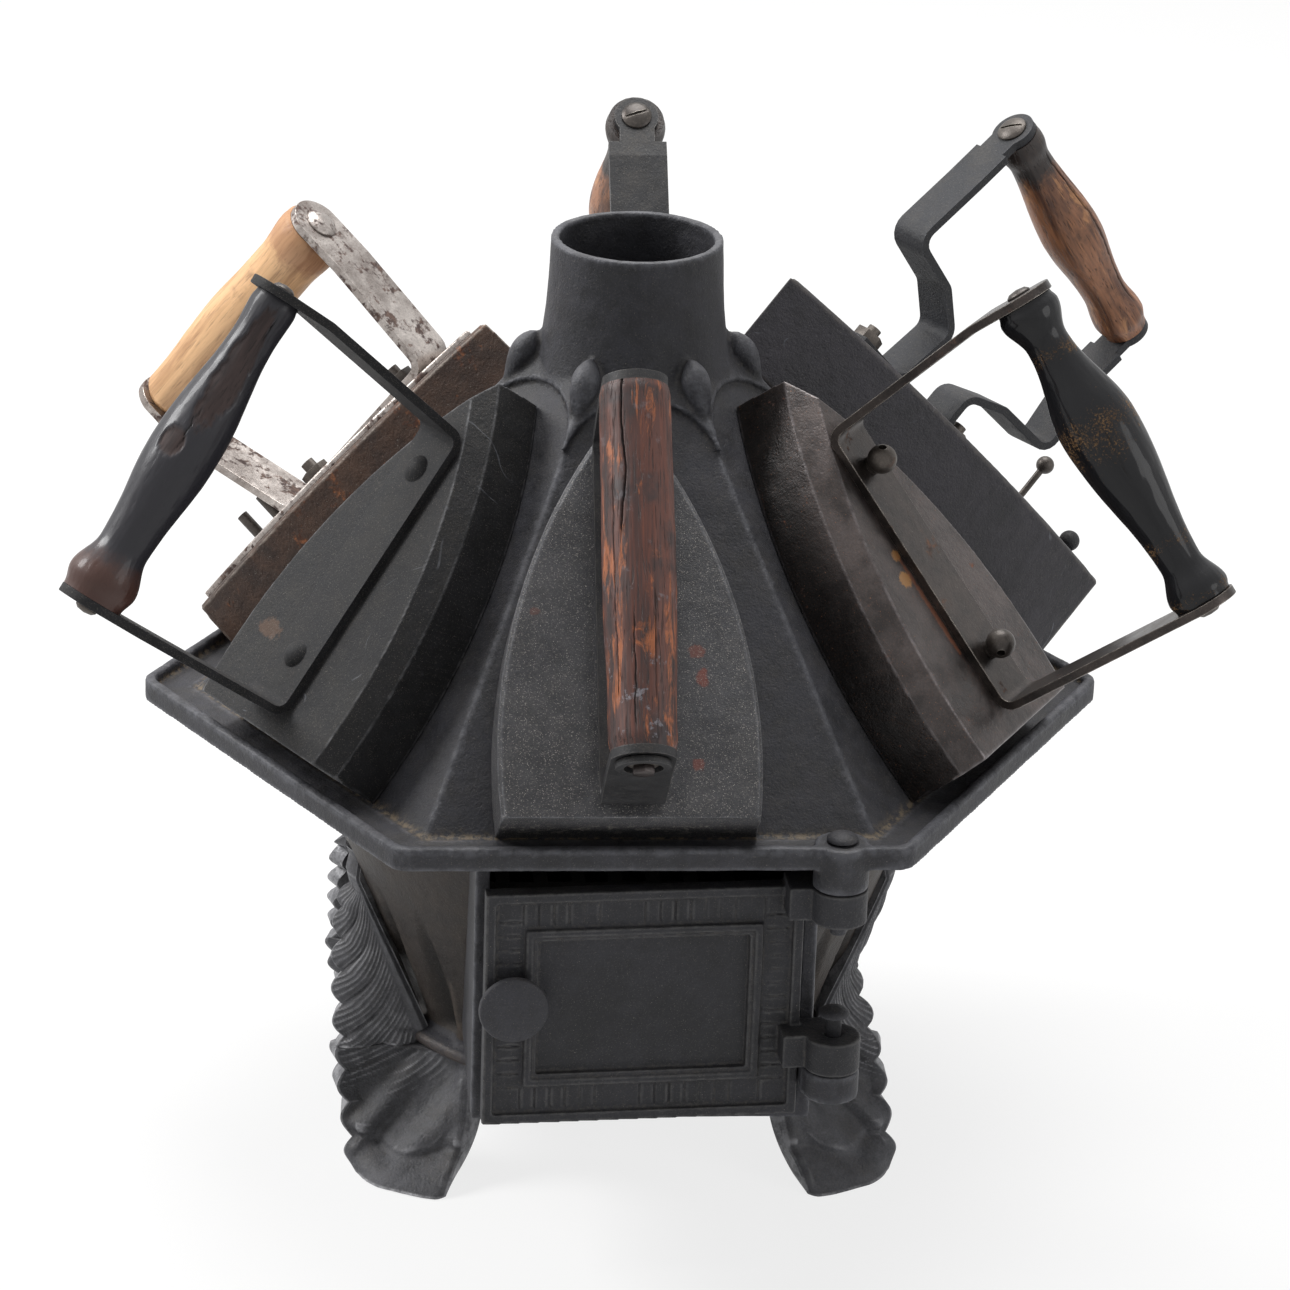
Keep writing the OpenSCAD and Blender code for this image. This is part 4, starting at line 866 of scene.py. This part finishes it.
def soft_copy(node, width=0.35):
    """A copy that keeps its faces and gets narrow round bevels."""
    piece = copy_node(node)
    edit_all(piece, bpy.ops.mesh.dissolve_limited, angle_limit=math.radians(1.2))
    modify(piece, "BEVEL", width=width * MM, segments=2, limit_method="ANGLE", angle_limit=math.radians(38))
    bpy.ops.object.shade_smooth_by_angle(angle=math.radians(40))
    return piece


# %% Finish, place and body of a piece
def dress(piece, node, matrix, look):
    """Gives a piece its finish, its place in its own frame, and the body of its CAD node."""
    remember(piece, "own_place", in_frame(points(piece), matrix), "FLOAT_VECTOR")
    piece.data.materials.append(finish[look])
    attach(piece, body_of[node])
    print(piece.name, "faces", len(piece.data.polygons), "look", look)


def stand_for(piece, node, matrix, look):
    """The piece takes the place of its CAD node."""
    dress(piece, node, matrix, look)
    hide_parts(node)


stove_frame = Matrix.Identity(4)

# %% [markdown]
# Hood, pot, mouth and door
#
# These are sand castings. Their skins are rebuilt from the CAD shapes with a quad
# size that suits each: fine on the door, where the mouldings are only two
# millimetres wide, coarse inside the pot.

# %% Hood, with dust in its two long corners
hood = cast_copy("hood", 1.15, uneven=0.2, smooth=1, keep=0.28)
TROUGH_FLOOR, RIM_FOOT = 184.5, 168.7
where = points(hood) / MM
facets = np.radians(np.arange(6) * 60 - 90)
apothem = (where[:, :1] * np.cos(facets) + where[:, 1:2] * np.sin(facets)).max(axis=1)
low = np.exp(-np.square((where[:, 2] - TROUGH_FLOOR) / 1.5))
near_foot = np.exp(-np.square((apothem - SLOPE_FOOT / MM) / 1.8))
near_rim = np.exp(-np.square((apothem - RIM_FOOT) / 1.4))
remember(hood, "corner", low * np.maximum(near_foot, near_rim))
stand_for(hood, "hood", stove_frame, "stove black")

# %% Pot, with folds like drapery round its foot and painted shade in their grooves
POT_FOOT, POT_RIM = (53, 93.5), (179, 135)
FOLDS, FOLD_DEPTH = 13, 3.6


def lerp(a, b, t):
    return a + (b - a) * t


def pot_radius(z):
    """Outer radius of the pot, in millimetres, at a height."""
    return lerp(POT_FOOT[1], POT_RIM[1], (z - POT_FOOT[0]) / (POT_RIM[0] - POT_FOOT[0]))


pot = cast_copy("fire_pot", 1.3, uneven=0.2, keep=0.42)
where = points(pot)
z = where[:, 2] / MM
around = np.arctan2(where[:, 1], where[:, 0])
out = np.hypot(where[:, 0], where[:, 1]) / MM
outside = np.clip((out - pot_radius(z) + 3) / 2, 0, 1)
turn = FOLDS * around + 0.35
peak = 58 + 58 * (0.5 + 0.5 * np.cos(2 * turn))
groove = np.clip((peak - z) / 26, 0, 1) * np.clip((z - POT_FOOT[0] - 1) / 3, 0, 1)
fold = FOLD_DEPTH * groove * outside * np.abs(np.cos(turn)) ** 2.5
inward = np.column_stack([-np.cos(around), -np.sin(around), 0 * around])
move_points(pot, where + inward * (fold * MM)[:, None])
# the depth of the folds is stored for the painted shade in their grooves
remember(pot, "soot", fold / FOLD_DEPTH)
stand_for(pot, "fire_pot", stove_frame, "smoked pot")

# %% Mouth, set back a little so that the shut door stays clear of it, and door
FRONT, SET_BACK = -148.8, 0.4
mouth = cast_copy("mouth_box", 1.2, uneven=0.15)
where = points(mouth)
y = where[:, 1] / MM
near_door = np.clip(FRONT - y, 0, 1) * (y > FRONT - 1.8)
where[:, 1] += SET_BACK * MM * near_door
move_points(mouth, where)
stand_for(mouth, "mouth_box", stove_frame, "stove black")
door = cast_copy("fire_door", 0.55, uneven=0.08, smooth=1, keep=0.6, full=0.05)
stand_for(door, "fire_door", stove_frame, "door black")

# %% Knob, hinge pins, leg bolts and grate
for node in ("door_knob", "upper_hinge_pin", "lower_hinge_pin"):
    stand_for(soft_copy(node, 0.5), node, stove_frame, "fittings black")
for node in ("leg_bolts", "leg_nuts"):
    stand_for(soft_copy(node, 0.3), node, stove_frame, "old fittings")
grate = frame["nodes"]["grate"].data
grate.materials.clear()
grate.materials.append(finish["hidden iron"])

# %% [markdown]
# The legs
#
# Each leg is a curved wing that grips the pot and sweeps out to a scalloped edge.
# It starts as a flat grid whose two directions mean "across the wing" and "up the
# leg". Every grid point is then moved to its place on the curved wing: a row of
# shell-like lobes swells out along the edge, fine ridges fan over them, and folds
# like cloth run down to the hem at the foot. Extruding the finished front towards
# the back gives the wing its thickness.

# %% Shape of a leg
# millimetres: u runs across the wing from its root, 0, to its margin, 1, and z up it
LEG_TOP, POT_BASE = 122, 45
LOBES = 10
HEM = 11


def from_axis(angle, radius):
    """Plan point at an angle beside the leg's axis, as across and outwards."""
    angle = np.radians(angle)
    return np.stack([radius * np.sin(angle), radius * np.cos(angle)], -1)


def leg_lines(z, draw):
    """Root on the pot, ridge and scalloped margin of the wing at height z."""
    low = (z < POT_BASE)[:, None]
    splay = np.power(np.clip(1 - z / POT_BASE, 0, 1), 1.5)
    rise = np.clip(z - POT_BASE, 0, None) / (LEG_TOP - POT_BASE)
    sink = 4 * np.clip((z - 112) / 6, 0, 1)
    root = from_axis(12 + 18 * rise**1.3, pot_radius(z) + 2.5 - sink)
    t = z / LEG_TOP
    crest = 34 * np.power(np.clip((z - 100) / 22, 0, 1), 1.4)
    reach = np.maximum(137 - draw * t**1.1 - crest, pot_radius(z) + 4.5 - sink)
    margin = from_axis(lerp(10, 36, t), reach)
    toe = np.stack([lerp(-22, -4, z / POT_BASE), 97.5 + 31.5 * splay], -1)
    inner = np.where(low, toe, root)
    span = margin - inner
    span /= np.linalg.norm(span, axis=1)[:, None]
    knee = np.stack([lerp(3, 23, z / POT_BASE), 100.5 + 38.5 * splay], -1)
    middle = (inner + margin) / 2 + 1.5 * np.stack([-span[:, 1], span[:, 0]], -1)
    return inner, np.where(low, knee, middle), margin


def leg_curve(u, z, draw):
    """Plan point of the wing, on an arc through the root, the ridge and the margin."""
    inner, ridge, margin = leg_lines(z, draw)
    control = 2 * ridge - (inner + margin) / 2
    u = u[:, None]
    return inner * (1 - u) ** 2 + 2 * u * (1 - u) * control + u**2 * margin


# %% Relief of a leg
def leg_relief(u, z):
    """How far the front stands out: lobes, fine ridges, folds and a hem."""
    phase = z * LOBES / LEG_TOP
    high = np.clip((z - 24) / 26, 0, 1)
    fade = np.clip((116 - z) / 16, 0.1, 1)
    w = 1 - u
    across = np.clip((u - 0.12 - 0.35 * (1 - high)) / 0.5, 0, 1)
    sweep = phase - (1.0 * w + 1.5 * w**2) * lerp(0.5, 1, high)
    lobe = np.power(np.abs(np.sin(math.pi * sweep)), 0.6)
    swell = 1.9 * (lobe - 0.5) * across * lerp(0.3, 1, high) * fade
    hair = np.power(0.5 + 0.5 * np.cos(2 * math.pi * 5 * (sweep - 0.2 * w)), 3)
    band = np.clip((u - 0.16) / 0.08, 0, 1) * np.clip((1.02 - u) / 0.06, 0, 1)
    ridges = 0.4 * hair * band * high * fade
    ribbon = 1.2 * np.exp(-np.square((u - 0.08) / 0.05)) * high
    calm = np.clip((z - 2) / 16, 0.1, 1) * np.clip((1 - u) / 0.12, 0.2, 1)
    drape = np.clip(1 - z / (1.15 * POT_BASE), 0, 1) ** 0.5 * calm
    wave = np.sin(2 * math.pi * (1.9 * u + 1.5 * z / POT_BASE + 0.1))
    fold = 3.4 * drape * np.sign(wave) * np.abs(wave) ** 0.8 * np.clip(u * 6, 0, 1)
    small_wave = np.sin(2 * math.pi * (3.7 * u + 2.4 * z / POT_BASE + 0.3))
    crease = drape * small_wave * np.clip((u - 0.2) * 3, 0, 1)
    cuff = HEM + 2.5 * np.sin(2 * math.pi * (1.1 * u + 0.2))
    roll = 1.2 * np.exp(-np.square((z - 0.4 * cuff) / (0.3 * cuff)))
    groove = 2.2 * np.clip((1 - u) / 0.1, 0, 1) * np.exp(-np.square((z - cuff) / 2.4))
    rolled = -3.5 * np.square(np.clip(1 - u / 0.07, 0, 1)) * (1 - high)
    return swell + ridges + ribbon + fold + crease + roll - groove + rolled


def wing_points(flat, rear, draw):
    """Moves flat grid points to the front of the wing, or to its rear."""
    u, z = flat[:, 0] + 0.5, (flat[:, 1] + 0.5) * LEG_TOP
    ahead, behind = np.minimum(u + 0.05, 1), np.maximum(u - 0.05, 0)
    along = leg_curve(ahead, z, draw) - leg_curve(behind, z, draw)
    along /= np.linalg.norm(along, axis=1)[:, None]
    outward = np.stack([-along[:, 1], along[:, 0]], -1)
    lobe = np.abs(np.sin(math.pi * LOBES * z / LEG_TOP))
    scallop = 4 * (lobe - 0.4) * np.clip((114 - z) / 10, 0, 1)
    foot_share = np.minimum(1, np.power(z / POT_BASE, 0.6))
    thick = lerp(20, 7, foot_share) - 4 * np.clip((z - 108) / 6, 0, 1)
    stand = np.where(rear, -thick, leg_relief(u, z))
    plan = leg_curve(u, z, draw) + along * (scallop * u**5)[:, None] + outward * stand[:, None]
    return np.column_stack([plan, z]) * MM


# %% Build a left and a right leg, and place all four
TONGUE_SIZE, TONGUE_PLACE = (0.026, 0.0315, 0.009), (0.004, 0.07975, 0.0405)


def build_leg(draw):
    """A wing with the flat tongue that is bolted under the pot."""
    bpy.ops.object.select_all(action="DESELECT")
    bpy.ops.mesh.primitive_grid_add(x_subdivisions=110, y_subdivisions=250, size=1)
    leg = bpy.context.object
    edit_all(leg, bpy.ops.mesh.extrude_region_move, TRANSFORM_OT_translate={"value": (0, 0, -0.05)})
    flat = points(leg)
    move_points(leg, wing_points(flat, flat[:, 2] < -0.01, draw))
    bpy.ops.mesh.primitive_cube_add(size=1)
    tongue = bpy.context.object
    tongue.data.transform(Matrix.Translation(TONGUE_PLACE) @ Matrix.Diagonal((*TONGUE_SIZE, 1)))
    modify(tongue, "BEVEL", width=0.0008, segments=2)
    make_active(leg)
    tongue.select_set(True)
    bpy.ops.object.join()
    edit_all(leg, bpy.ops.mesh.normals_make_consistent, inside=False)
    bpy.ops.object.shade_smooth_by_angle(angle=math.radians(50))
    return leg


mirror = Matrix.Diagonal((-1, 1, 1, 1))
towards_front = Matrix.Rotation(math.radians(-135), 4, "Z") @ mirror
towards_back = Matrix.Rotation(math.radians(-45), 4, "Z")
places = {
    "leg_front_right": (58, towards_front),
    "leg_back_right": (58, towards_back),
    "leg_back_left": (19, mirror @ towards_back),
    "leg_front_left": (19, mirror @ towards_front),
}
for node, (draw, turn) in places.items():
    piece = build_leg(draw)
    piece.name = node + "_skin"
    piece.data.transform(turn)
    if turn.determinant() < 0:
        edit_all(piece, bpy.ops.mesh.flip_normals)
    remember_relief(piece, full=0.07)
    stand_for(piece, node, stove_frame, "leg black")

# %% [markdown]
# The flatirons
#
# Each iron is a heavy body, a bent strap held by rivets, and a turned grip on a
# rod. The bodies are castings that were ground on the sole and on the bevels; the
# straps are flat bar, so they keep their faces and get small bevels. Every piece
# remembers its place in its iron's own frame, so rust and grain follow the iron.

# %% Iron bodies
def frame_of(node):
    """The frame of the iron that a node belongs to."""
    return next(iron_frames[name] for name in iron_frames if node.startswith(name + "_"))


bodies = {
    "front_iron_body": "speckled iron",
    "front_right_iron_body": "rust-browned iron",
    "back_iron_body": "plain grey iron",
    "back_left_iron_body": "plated body",
    "front_left_iron_body": "dusty iron",
    "box_iron_body": "box black",
    "back_left_iron_cover": "stained nickel",
}
# size of the quads and unevenness in millimetres, and the share of faces kept
USUAL_SKIN = (0.7, 0.09, 0.45)
OTHER_SKINS = {"box_iron_body": (0.9, 0.1, 0.55), "back_left_iron_cover": (0.6, 0.06, 0.5)}
for node, look in bodies.items():
    own = frame_of(node)
    voxel, uneven, keep = OTHER_SKINS.get(node, USUAL_SKIN)
    stand_for(cast_copy(node, voxel, uneven, smooth=1, keep=keep, square=own), node, own, look)

# %% Straps, brackets and gate
bars = {
    "front_iron_strap": "black strap",
    "front_right_iron_strap": "worn strap",
    "back_iron_strap": "black strap",
    "back_left_iron_strap": "stained nickel",
    "front_left_iron_strap": "dusty strap",
    "box_iron_front_bracket": "black bar",
    "box_iron_rear_bracket": "black bar",
    "box_iron_gate": "black bar",
}
for node, look in bars.items():
    bar = soft_copy(node, 0.45)
    modify(bar, "WEIGHTED_NORMAL", keep_sharp=True)
    stand_for(bar, node, frame_of(node), look)

# %% Rods, rivets and studs
small = (
    "front_iron_rod", "front_iron_rivets", "front_right_iron_rod", "front_right_iron_studs",
    "back_iron_rod", "back_iron_rivets", "back_left_iron_rod", "back_left_iron_bolts",
    "back_left_iron_pins", "front_left_iron_rod", "front_left_iron_rivets", "box_iron_rod",
    "box_iron_bracket_studs", "box_iron_heel_knob", "box_iron_gate_lifter", "box_iron_slug",
)
# all look like old fittings, apart from these
other_looks = {
    "front_iron_rivets": "black strap",
    "back_iron_rivets": "black strap",
    "back_left_iron_rod": "stained nickel",
    "front_left_iron_rivets": "dusty strap",
    "box_iron_heel_knob": "black bar",
}


# %% Drill and slot the small fasteners
def cut(piece, cutter, frame_of_cutter):
    """Takes the cutter's shape out of a piece and removes the cutter."""
    cutter.data.transform(frame_of_cutter)
    modify(piece, "BOOLEAN", operation="DIFFERENCE", object=cutter, solver="EXACT")
    bpy.data.objects.remove(cutter)


def facing(centre, direction):
    """A frame at a centre, in millimetres, whose Z looks in a direction."""
    turn = Vector(direction).to_track_quat("Z", "Y").to_matrix().to_4x4()
    return Matrix.Translation(Vector(centre) * MM) @ turn


def drill(piece, iron, centre, direction, reach, radius=1.7):
    """Drills a hole that starts its reach away from a centre."""
    bpy.ops.mesh.primitive_cylinder_add(vertices=28, radius=radius * MM, depth=6 * MM)
    moved = Matrix.Translation((0, 0, reach * MM))
    cut(piece, bpy.context.object, iron @ facing(centre, direction) @ moved)


def slot_head(piece, iron, centre, direction, turn, length=14):
    """Cuts a screwdriver's slot across a head."""
    bpy.ops.mesh.primitive_cube_add(size=MM)
    sized = Matrix.Rotation(math.radians(turn), 4, "Z") @ Matrix.Diagonal((length, 1.3, 2.4, 1))
    cut(piece, bpy.context.object, iron @ facing(centre, direction) @ sized)


for node in small:
    own = frame_of(node)
    piece = soft_copy(node, 0.25)
    if node == "front_right_iron_studs":
        drill(piece, own, (0, 33, 44.6), (-0.85, -0.53, 0.1), 5.5)
        drill(piece, own, (0, 121, 44.6), (-0.23, 0.7, 0.67), 5.5)
    if node == "back_iron_rod":
        slot_head(piece, own, (0, 154.5, 130), (0, 1, 0), 20)
    if node == "box_iron_rod":
        slot_head(piece, own, (0, 162.5, 155.6), (0, 0.99, 0.14), 35)
    stand_for(piece, node, own, other_looks.get(node, "old fittings"))

# %% [markdown]
# A nut in the strap's end
#
# The lower end of the front strap is dished around its rod, and a small nut sits
# in it. A short six-sided prism gets its chamfers and rides on the iron.

# %% Nut and ring of the front strap
def add_fitting(name, sides, radius, height, place):
    """A bevelled prism that faces out of the front iron's heel."""
    bpy.ops.object.select_all(action="DESELECT")
    bpy.ops.mesh.primitive_cylinder_add(vertices=sides, radius=radius * MM, depth=height * MM)
    piece = bpy.context.object
    piece.name = name
    modify(piece, "BEVEL", width=0.35 * MM, segments=2, limit_method="ANGLE", angle_limit=math.radians(25))
    piece.data.transform(own @ facing(place, (0, -1, 0)))
    bpy.ops.object.shade_smooth_by_angle(angle=math.radians(40))
    return piece


own = iron_frames["front_iron"]
nut = add_fitting("front_iron_nut", 6, 4.6, 3.0, (0, 2.6, 90))
dress(nut, "front_iron_rod", own, "rusty ball")
ring = add_fitting("front_iron_ring", 40, 10.6, 2.6, (0, 4.6, 90))
drill(ring, own, (0, 4.6, 90), (0, -1, 0), 0, radius=7.6)
dress(ring, "front_iron_rod", own, "black strap")

# %% [markdown]
# The turned grips
#
# A grip is turned on a lathe, so it starts as a tube whose rings take the radius
# of the turning. Then come the years: the wood shrinks a little out of round,
# opens in cracks along the grain, and loses its lacquer where hands hold it. A
# crack is a narrow groove that wanders along the grip; the mesh stores how deep
# in a crack or in a bare patch each point is, and the finish colours it.

# %% The six grips by their numbers
# eyes: heel and toe end as Y and Z in the iron's frame, in millimetres
# turning: place along the grip from 0 to 1, and radius in millimetres
# cracks: angle in degrees, start and end along the grip, width and depth in
# millimetres, and how far the crack wanders, in degrees
# faces: how many faces go around and along the grip
GRIPS = {
    "front_iron": dict(
        look="red-brown wood", eyes=((8, 90), (156, 90)), faces=(256, 240),
        turning=((0, 12.3), (0.03, 13), (0.5, 14.2), (0.9, 13.8), (0.98, 13.6), (1, 13)),
        cracks=(
            (-117, 0.55, 1.1, 0.55, 1.3, 7), (-104, 0.02, 0.38, 0.4, 0.7, 6), (-136, 0.1, 0.75, 0.3, 0.5, 5),
            (-70, 0.1, 0.45, 0.3, 0.4, 5), (70, 0.1, 0.8, 0.8, 1.0, 10),
        ),
    ),
    "front_right_iron": dict(
        look="black lacquer", eyes=((6, 132), (146, 136)), faces=(160, 150),
        turning=((0, 11.5), (0.03, 12.7), (0.13, 8.8), (0.58, 16), (0.87, 8.8), (0.97, 12.7), (1, 11.5)),
        cracks=((-150, 0.4, 0.62, 0.4, 0.3, 8),),
    ),
    "box_iron": dict(
        look="brown wood", eyes=((38, 138), (158, 155)),
        turning=((0, 9.5), (0.07, 11.4), (0.2, 9.6), (0.52, 13.2), (0.88, 9), (0.95, 10.4), (1, 9.8)),
        cracks=(
            (-146, 0.12, 0.92, 0.6, 1.2, 8), (-112, -0.05, 0.3, 1.1, 1.6, 5), (-92, -0.05, 0.24, 0.8, 1.3, 5),
            (-122, 0.3, 0.8, 0.35, 0.6, 6), (20, 0.1, 0.8, 0.8, 1.0, 12),
        ),
    ),
    "back_iron": dict(
        look="brown wood", eyes=((12, 132), (150, 130)),
        turning=((0, 11), (0.05, 13), (0.15, 10), (0.5, 16), (0.85, 10.5), (0.96, 13), (1, 12)),
        cracks=((90, 0.1, 0.7, 0.8, 1.0, 10), (-80, 0.3, 0.9, 0.7, 0.8, 8)),
    ),
    "back_left_iron": dict(
        look="pale wood", eyes=((24, 106), (141, 106)),
        turning=((0, 9.5), (0.03, 12), (0.5, 14), (0.8, 13), (0.95, 14.5), (0.99, 14), (1, 13)),
        cracks=((-70, 0.6, 0.98, 0.5, 0.5, 6), (60, 0.1, 0.5, 0.5, 0.5, 6)),
    ),
    "front_left_iron": dict(
        look="rubbed lacquer", eyes=((6, 132), (146, 136)), faces=(200, 190),
        turning=((0, 12.5), (0.06, 14.4), (0.17, 10.4), (0.5, 14), (0.88, 9), (0.97, 9.6), (1, 9)),
        cracks=((-48, 0.47, 0.63, 0.45, 0.6, 22), (-14, 0.86, 0.97, 0.4, 0.5, 8)),
    ),
}
# from the middle of an eye to the end of the wood: half a strap and a little air
EYE = 1.9
# middle and half length of the stretches where the black lacquer is rubbed
RUBBED = ((0.84, 0.05), (0.58, 0.13), (0.2, 0.04), (0.02, 0.04))
TORN_DEPTH = 0.8


# %% Shape of a grip
def turned_radius(profile, t):
    """Radius along the grip, eased between the marks of its profile."""
    stops, radii = np.array(profile, float).T
    n = np.clip(np.searchsorted(stops, t, side="right") - 1, 0, len(profile) - 2)
    low, high = stops[n], stops[n + 1]
    share = (1 - np.cos(math.pi * np.clip((t - low) / (high - low), 0, 1))) / 2
    return lerp(radii[n], radii[n + 1], share)


def wandering(t, seed):
    """How a crack strays along the grip, from -1 to 1."""
    return np.array(
        [noise.noise(Vector((v * 6, seed, 0))) + 0.35 * noise.noise(Vector((v * 30, seed, 5))) for v in t]
    )


def oval(t, angle, at, along, face, across):
    """1 in the middle of an oval patch on a grip, 0 at its border, then negative."""
    away = np.abs((angle - face + 180) % 360 - 180) / across
    return 1 - np.hypot((t - at) / along, away)


def bare_patches(iron, t, angle, where):
    """Where the lacquer is gone, from 0 to 1."""
    rag = 0.5 * soft_noise(where, 0.12, 1.0) + 0.3 * soft_noise(where, 0.5, 5.0)
    rag += 0.15 * soft_noise(where, 1.6, 8.0)
    if iron == "front_left_iron":
        torn = oval(t, angle, 0.76, 0.2, -34, 36) + 0.5 * rag
        hole = oval(t, angle, 0.5, 0.045, -62, 24) + 0.12 * rag
        return np.clip(np.maximum(torn, hole) * 9, 0, 1)
    if iron == "front_right_iron":
        bands = [1 - np.abs(t - middle) / half for middle, half in RUBBED]
        return np.clip(np.maximum.reduce(bands) + 1.5 * rag - 0.1, 0, 1)
    return np.zeros(len(t))


# %% Turn a grip
def new_tube(name, around, rings):
    """A closed tube of unit length with many rings of faces."""
    bpy.ops.object.select_all(action="DESELECT")
    bpy.ops.mesh.primitive_cylinder_add(vertices=around, radius=0.01, depth=1, end_fill_type="TRIFAN")
    piece = bpy.context.object
    piece.name = name
    bpy.ops.object.mode_set(mode="EDIT")
    bpy.ops.mesh.select_mode(type="EDGE")
    bpy.ops.mesh.select_all(action="DESELECT")
    bpy.ops.object.mode_set(mode="OBJECT")
    for e in piece.data.edges:
        a, b = (piece.data.vertices[v].co for v in e.vertices)
        e.select = abs(a.z - b.z) > 0.5
    bpy.ops.object.mode_set(mode="EDIT")
    bpy.ops.mesh.subdivide(number_cuts=rings)
    bpy.ops.object.mode_set(mode="OBJECT")
    return piece


def turn_grip(iron, look, eyes, turning, cracks, faces=(128, 120)):
    """Turns a grip between its two eyes, opens its cracks and takes off its lacquer."""
    span = math.dist(*eyes) - 2 * EYE
    piece = new_tube(iron + "_grip_skin", *faces)
    where = points(piece)
    t = where[:, 2] + 0.5
    angle = np.arctan2(where[:, 1], where[:, 0])
    pole = np.hypot(where[:, 0], where[:, 1]) < 1e-4
    radius = turned_radius(turning, t)
    round_place = np.column_stack([np.cos(angle) * radius, np.sin(angle) * radius, t * span])
    shrunk = 0.28 * soft_noise(round_place, 0.05, 3.0)
    fibres = 0.1 * soft_noise(round_place * (1, 1, 0.25), 0.6, 9.0)
    radius = radius + shrunk + fibres
    crack = np.zeros(len(t))
    for start, t0, t1, width, deep, wander in cracks:
        away = (np.degrees(angle) - start - wander * wandering(t, start) + 180) % 360 - 180
        reach = np.radians(away) * radius
        taper = np.clip((t - t0) / 0.06, 0, 1) * np.clip((t1 - t) / 0.06, 0, 1)
        inside = np.exp(-np.square(reach / (0.55 * width))) * taper
        radius = radius - deep * inside
        crack = np.maximum(crack, inside)
    bare = bare_patches(iron, t, np.degrees(angle), round_place)
    if iron == "front_left_iron":
        radius = radius - TORN_DEPTH * bare
    radius = np.where(pole, 0, radius)
    shaped = np.column_stack([np.cos(angle) * radius, np.sin(angle) * radius, t * span + EYE]) * MM
    remember(piece, "crack", np.clip(crack * 1.6, 0, 1))
    remember(piece, "bare", bare)
    move_points(piece, shaped)
    make_active(piece)
    bpy.ops.object.shade_smooth_by_angle(angle=math.radians(45))
    own = grip_frame(iron_frames[iron], *eyes)
    piece.data.transform(own)
    stand_for(piece, iron + "_grip", own, look)


for iron, numbers in GRIPS.items():
    turn_grip(iron, **numbers)
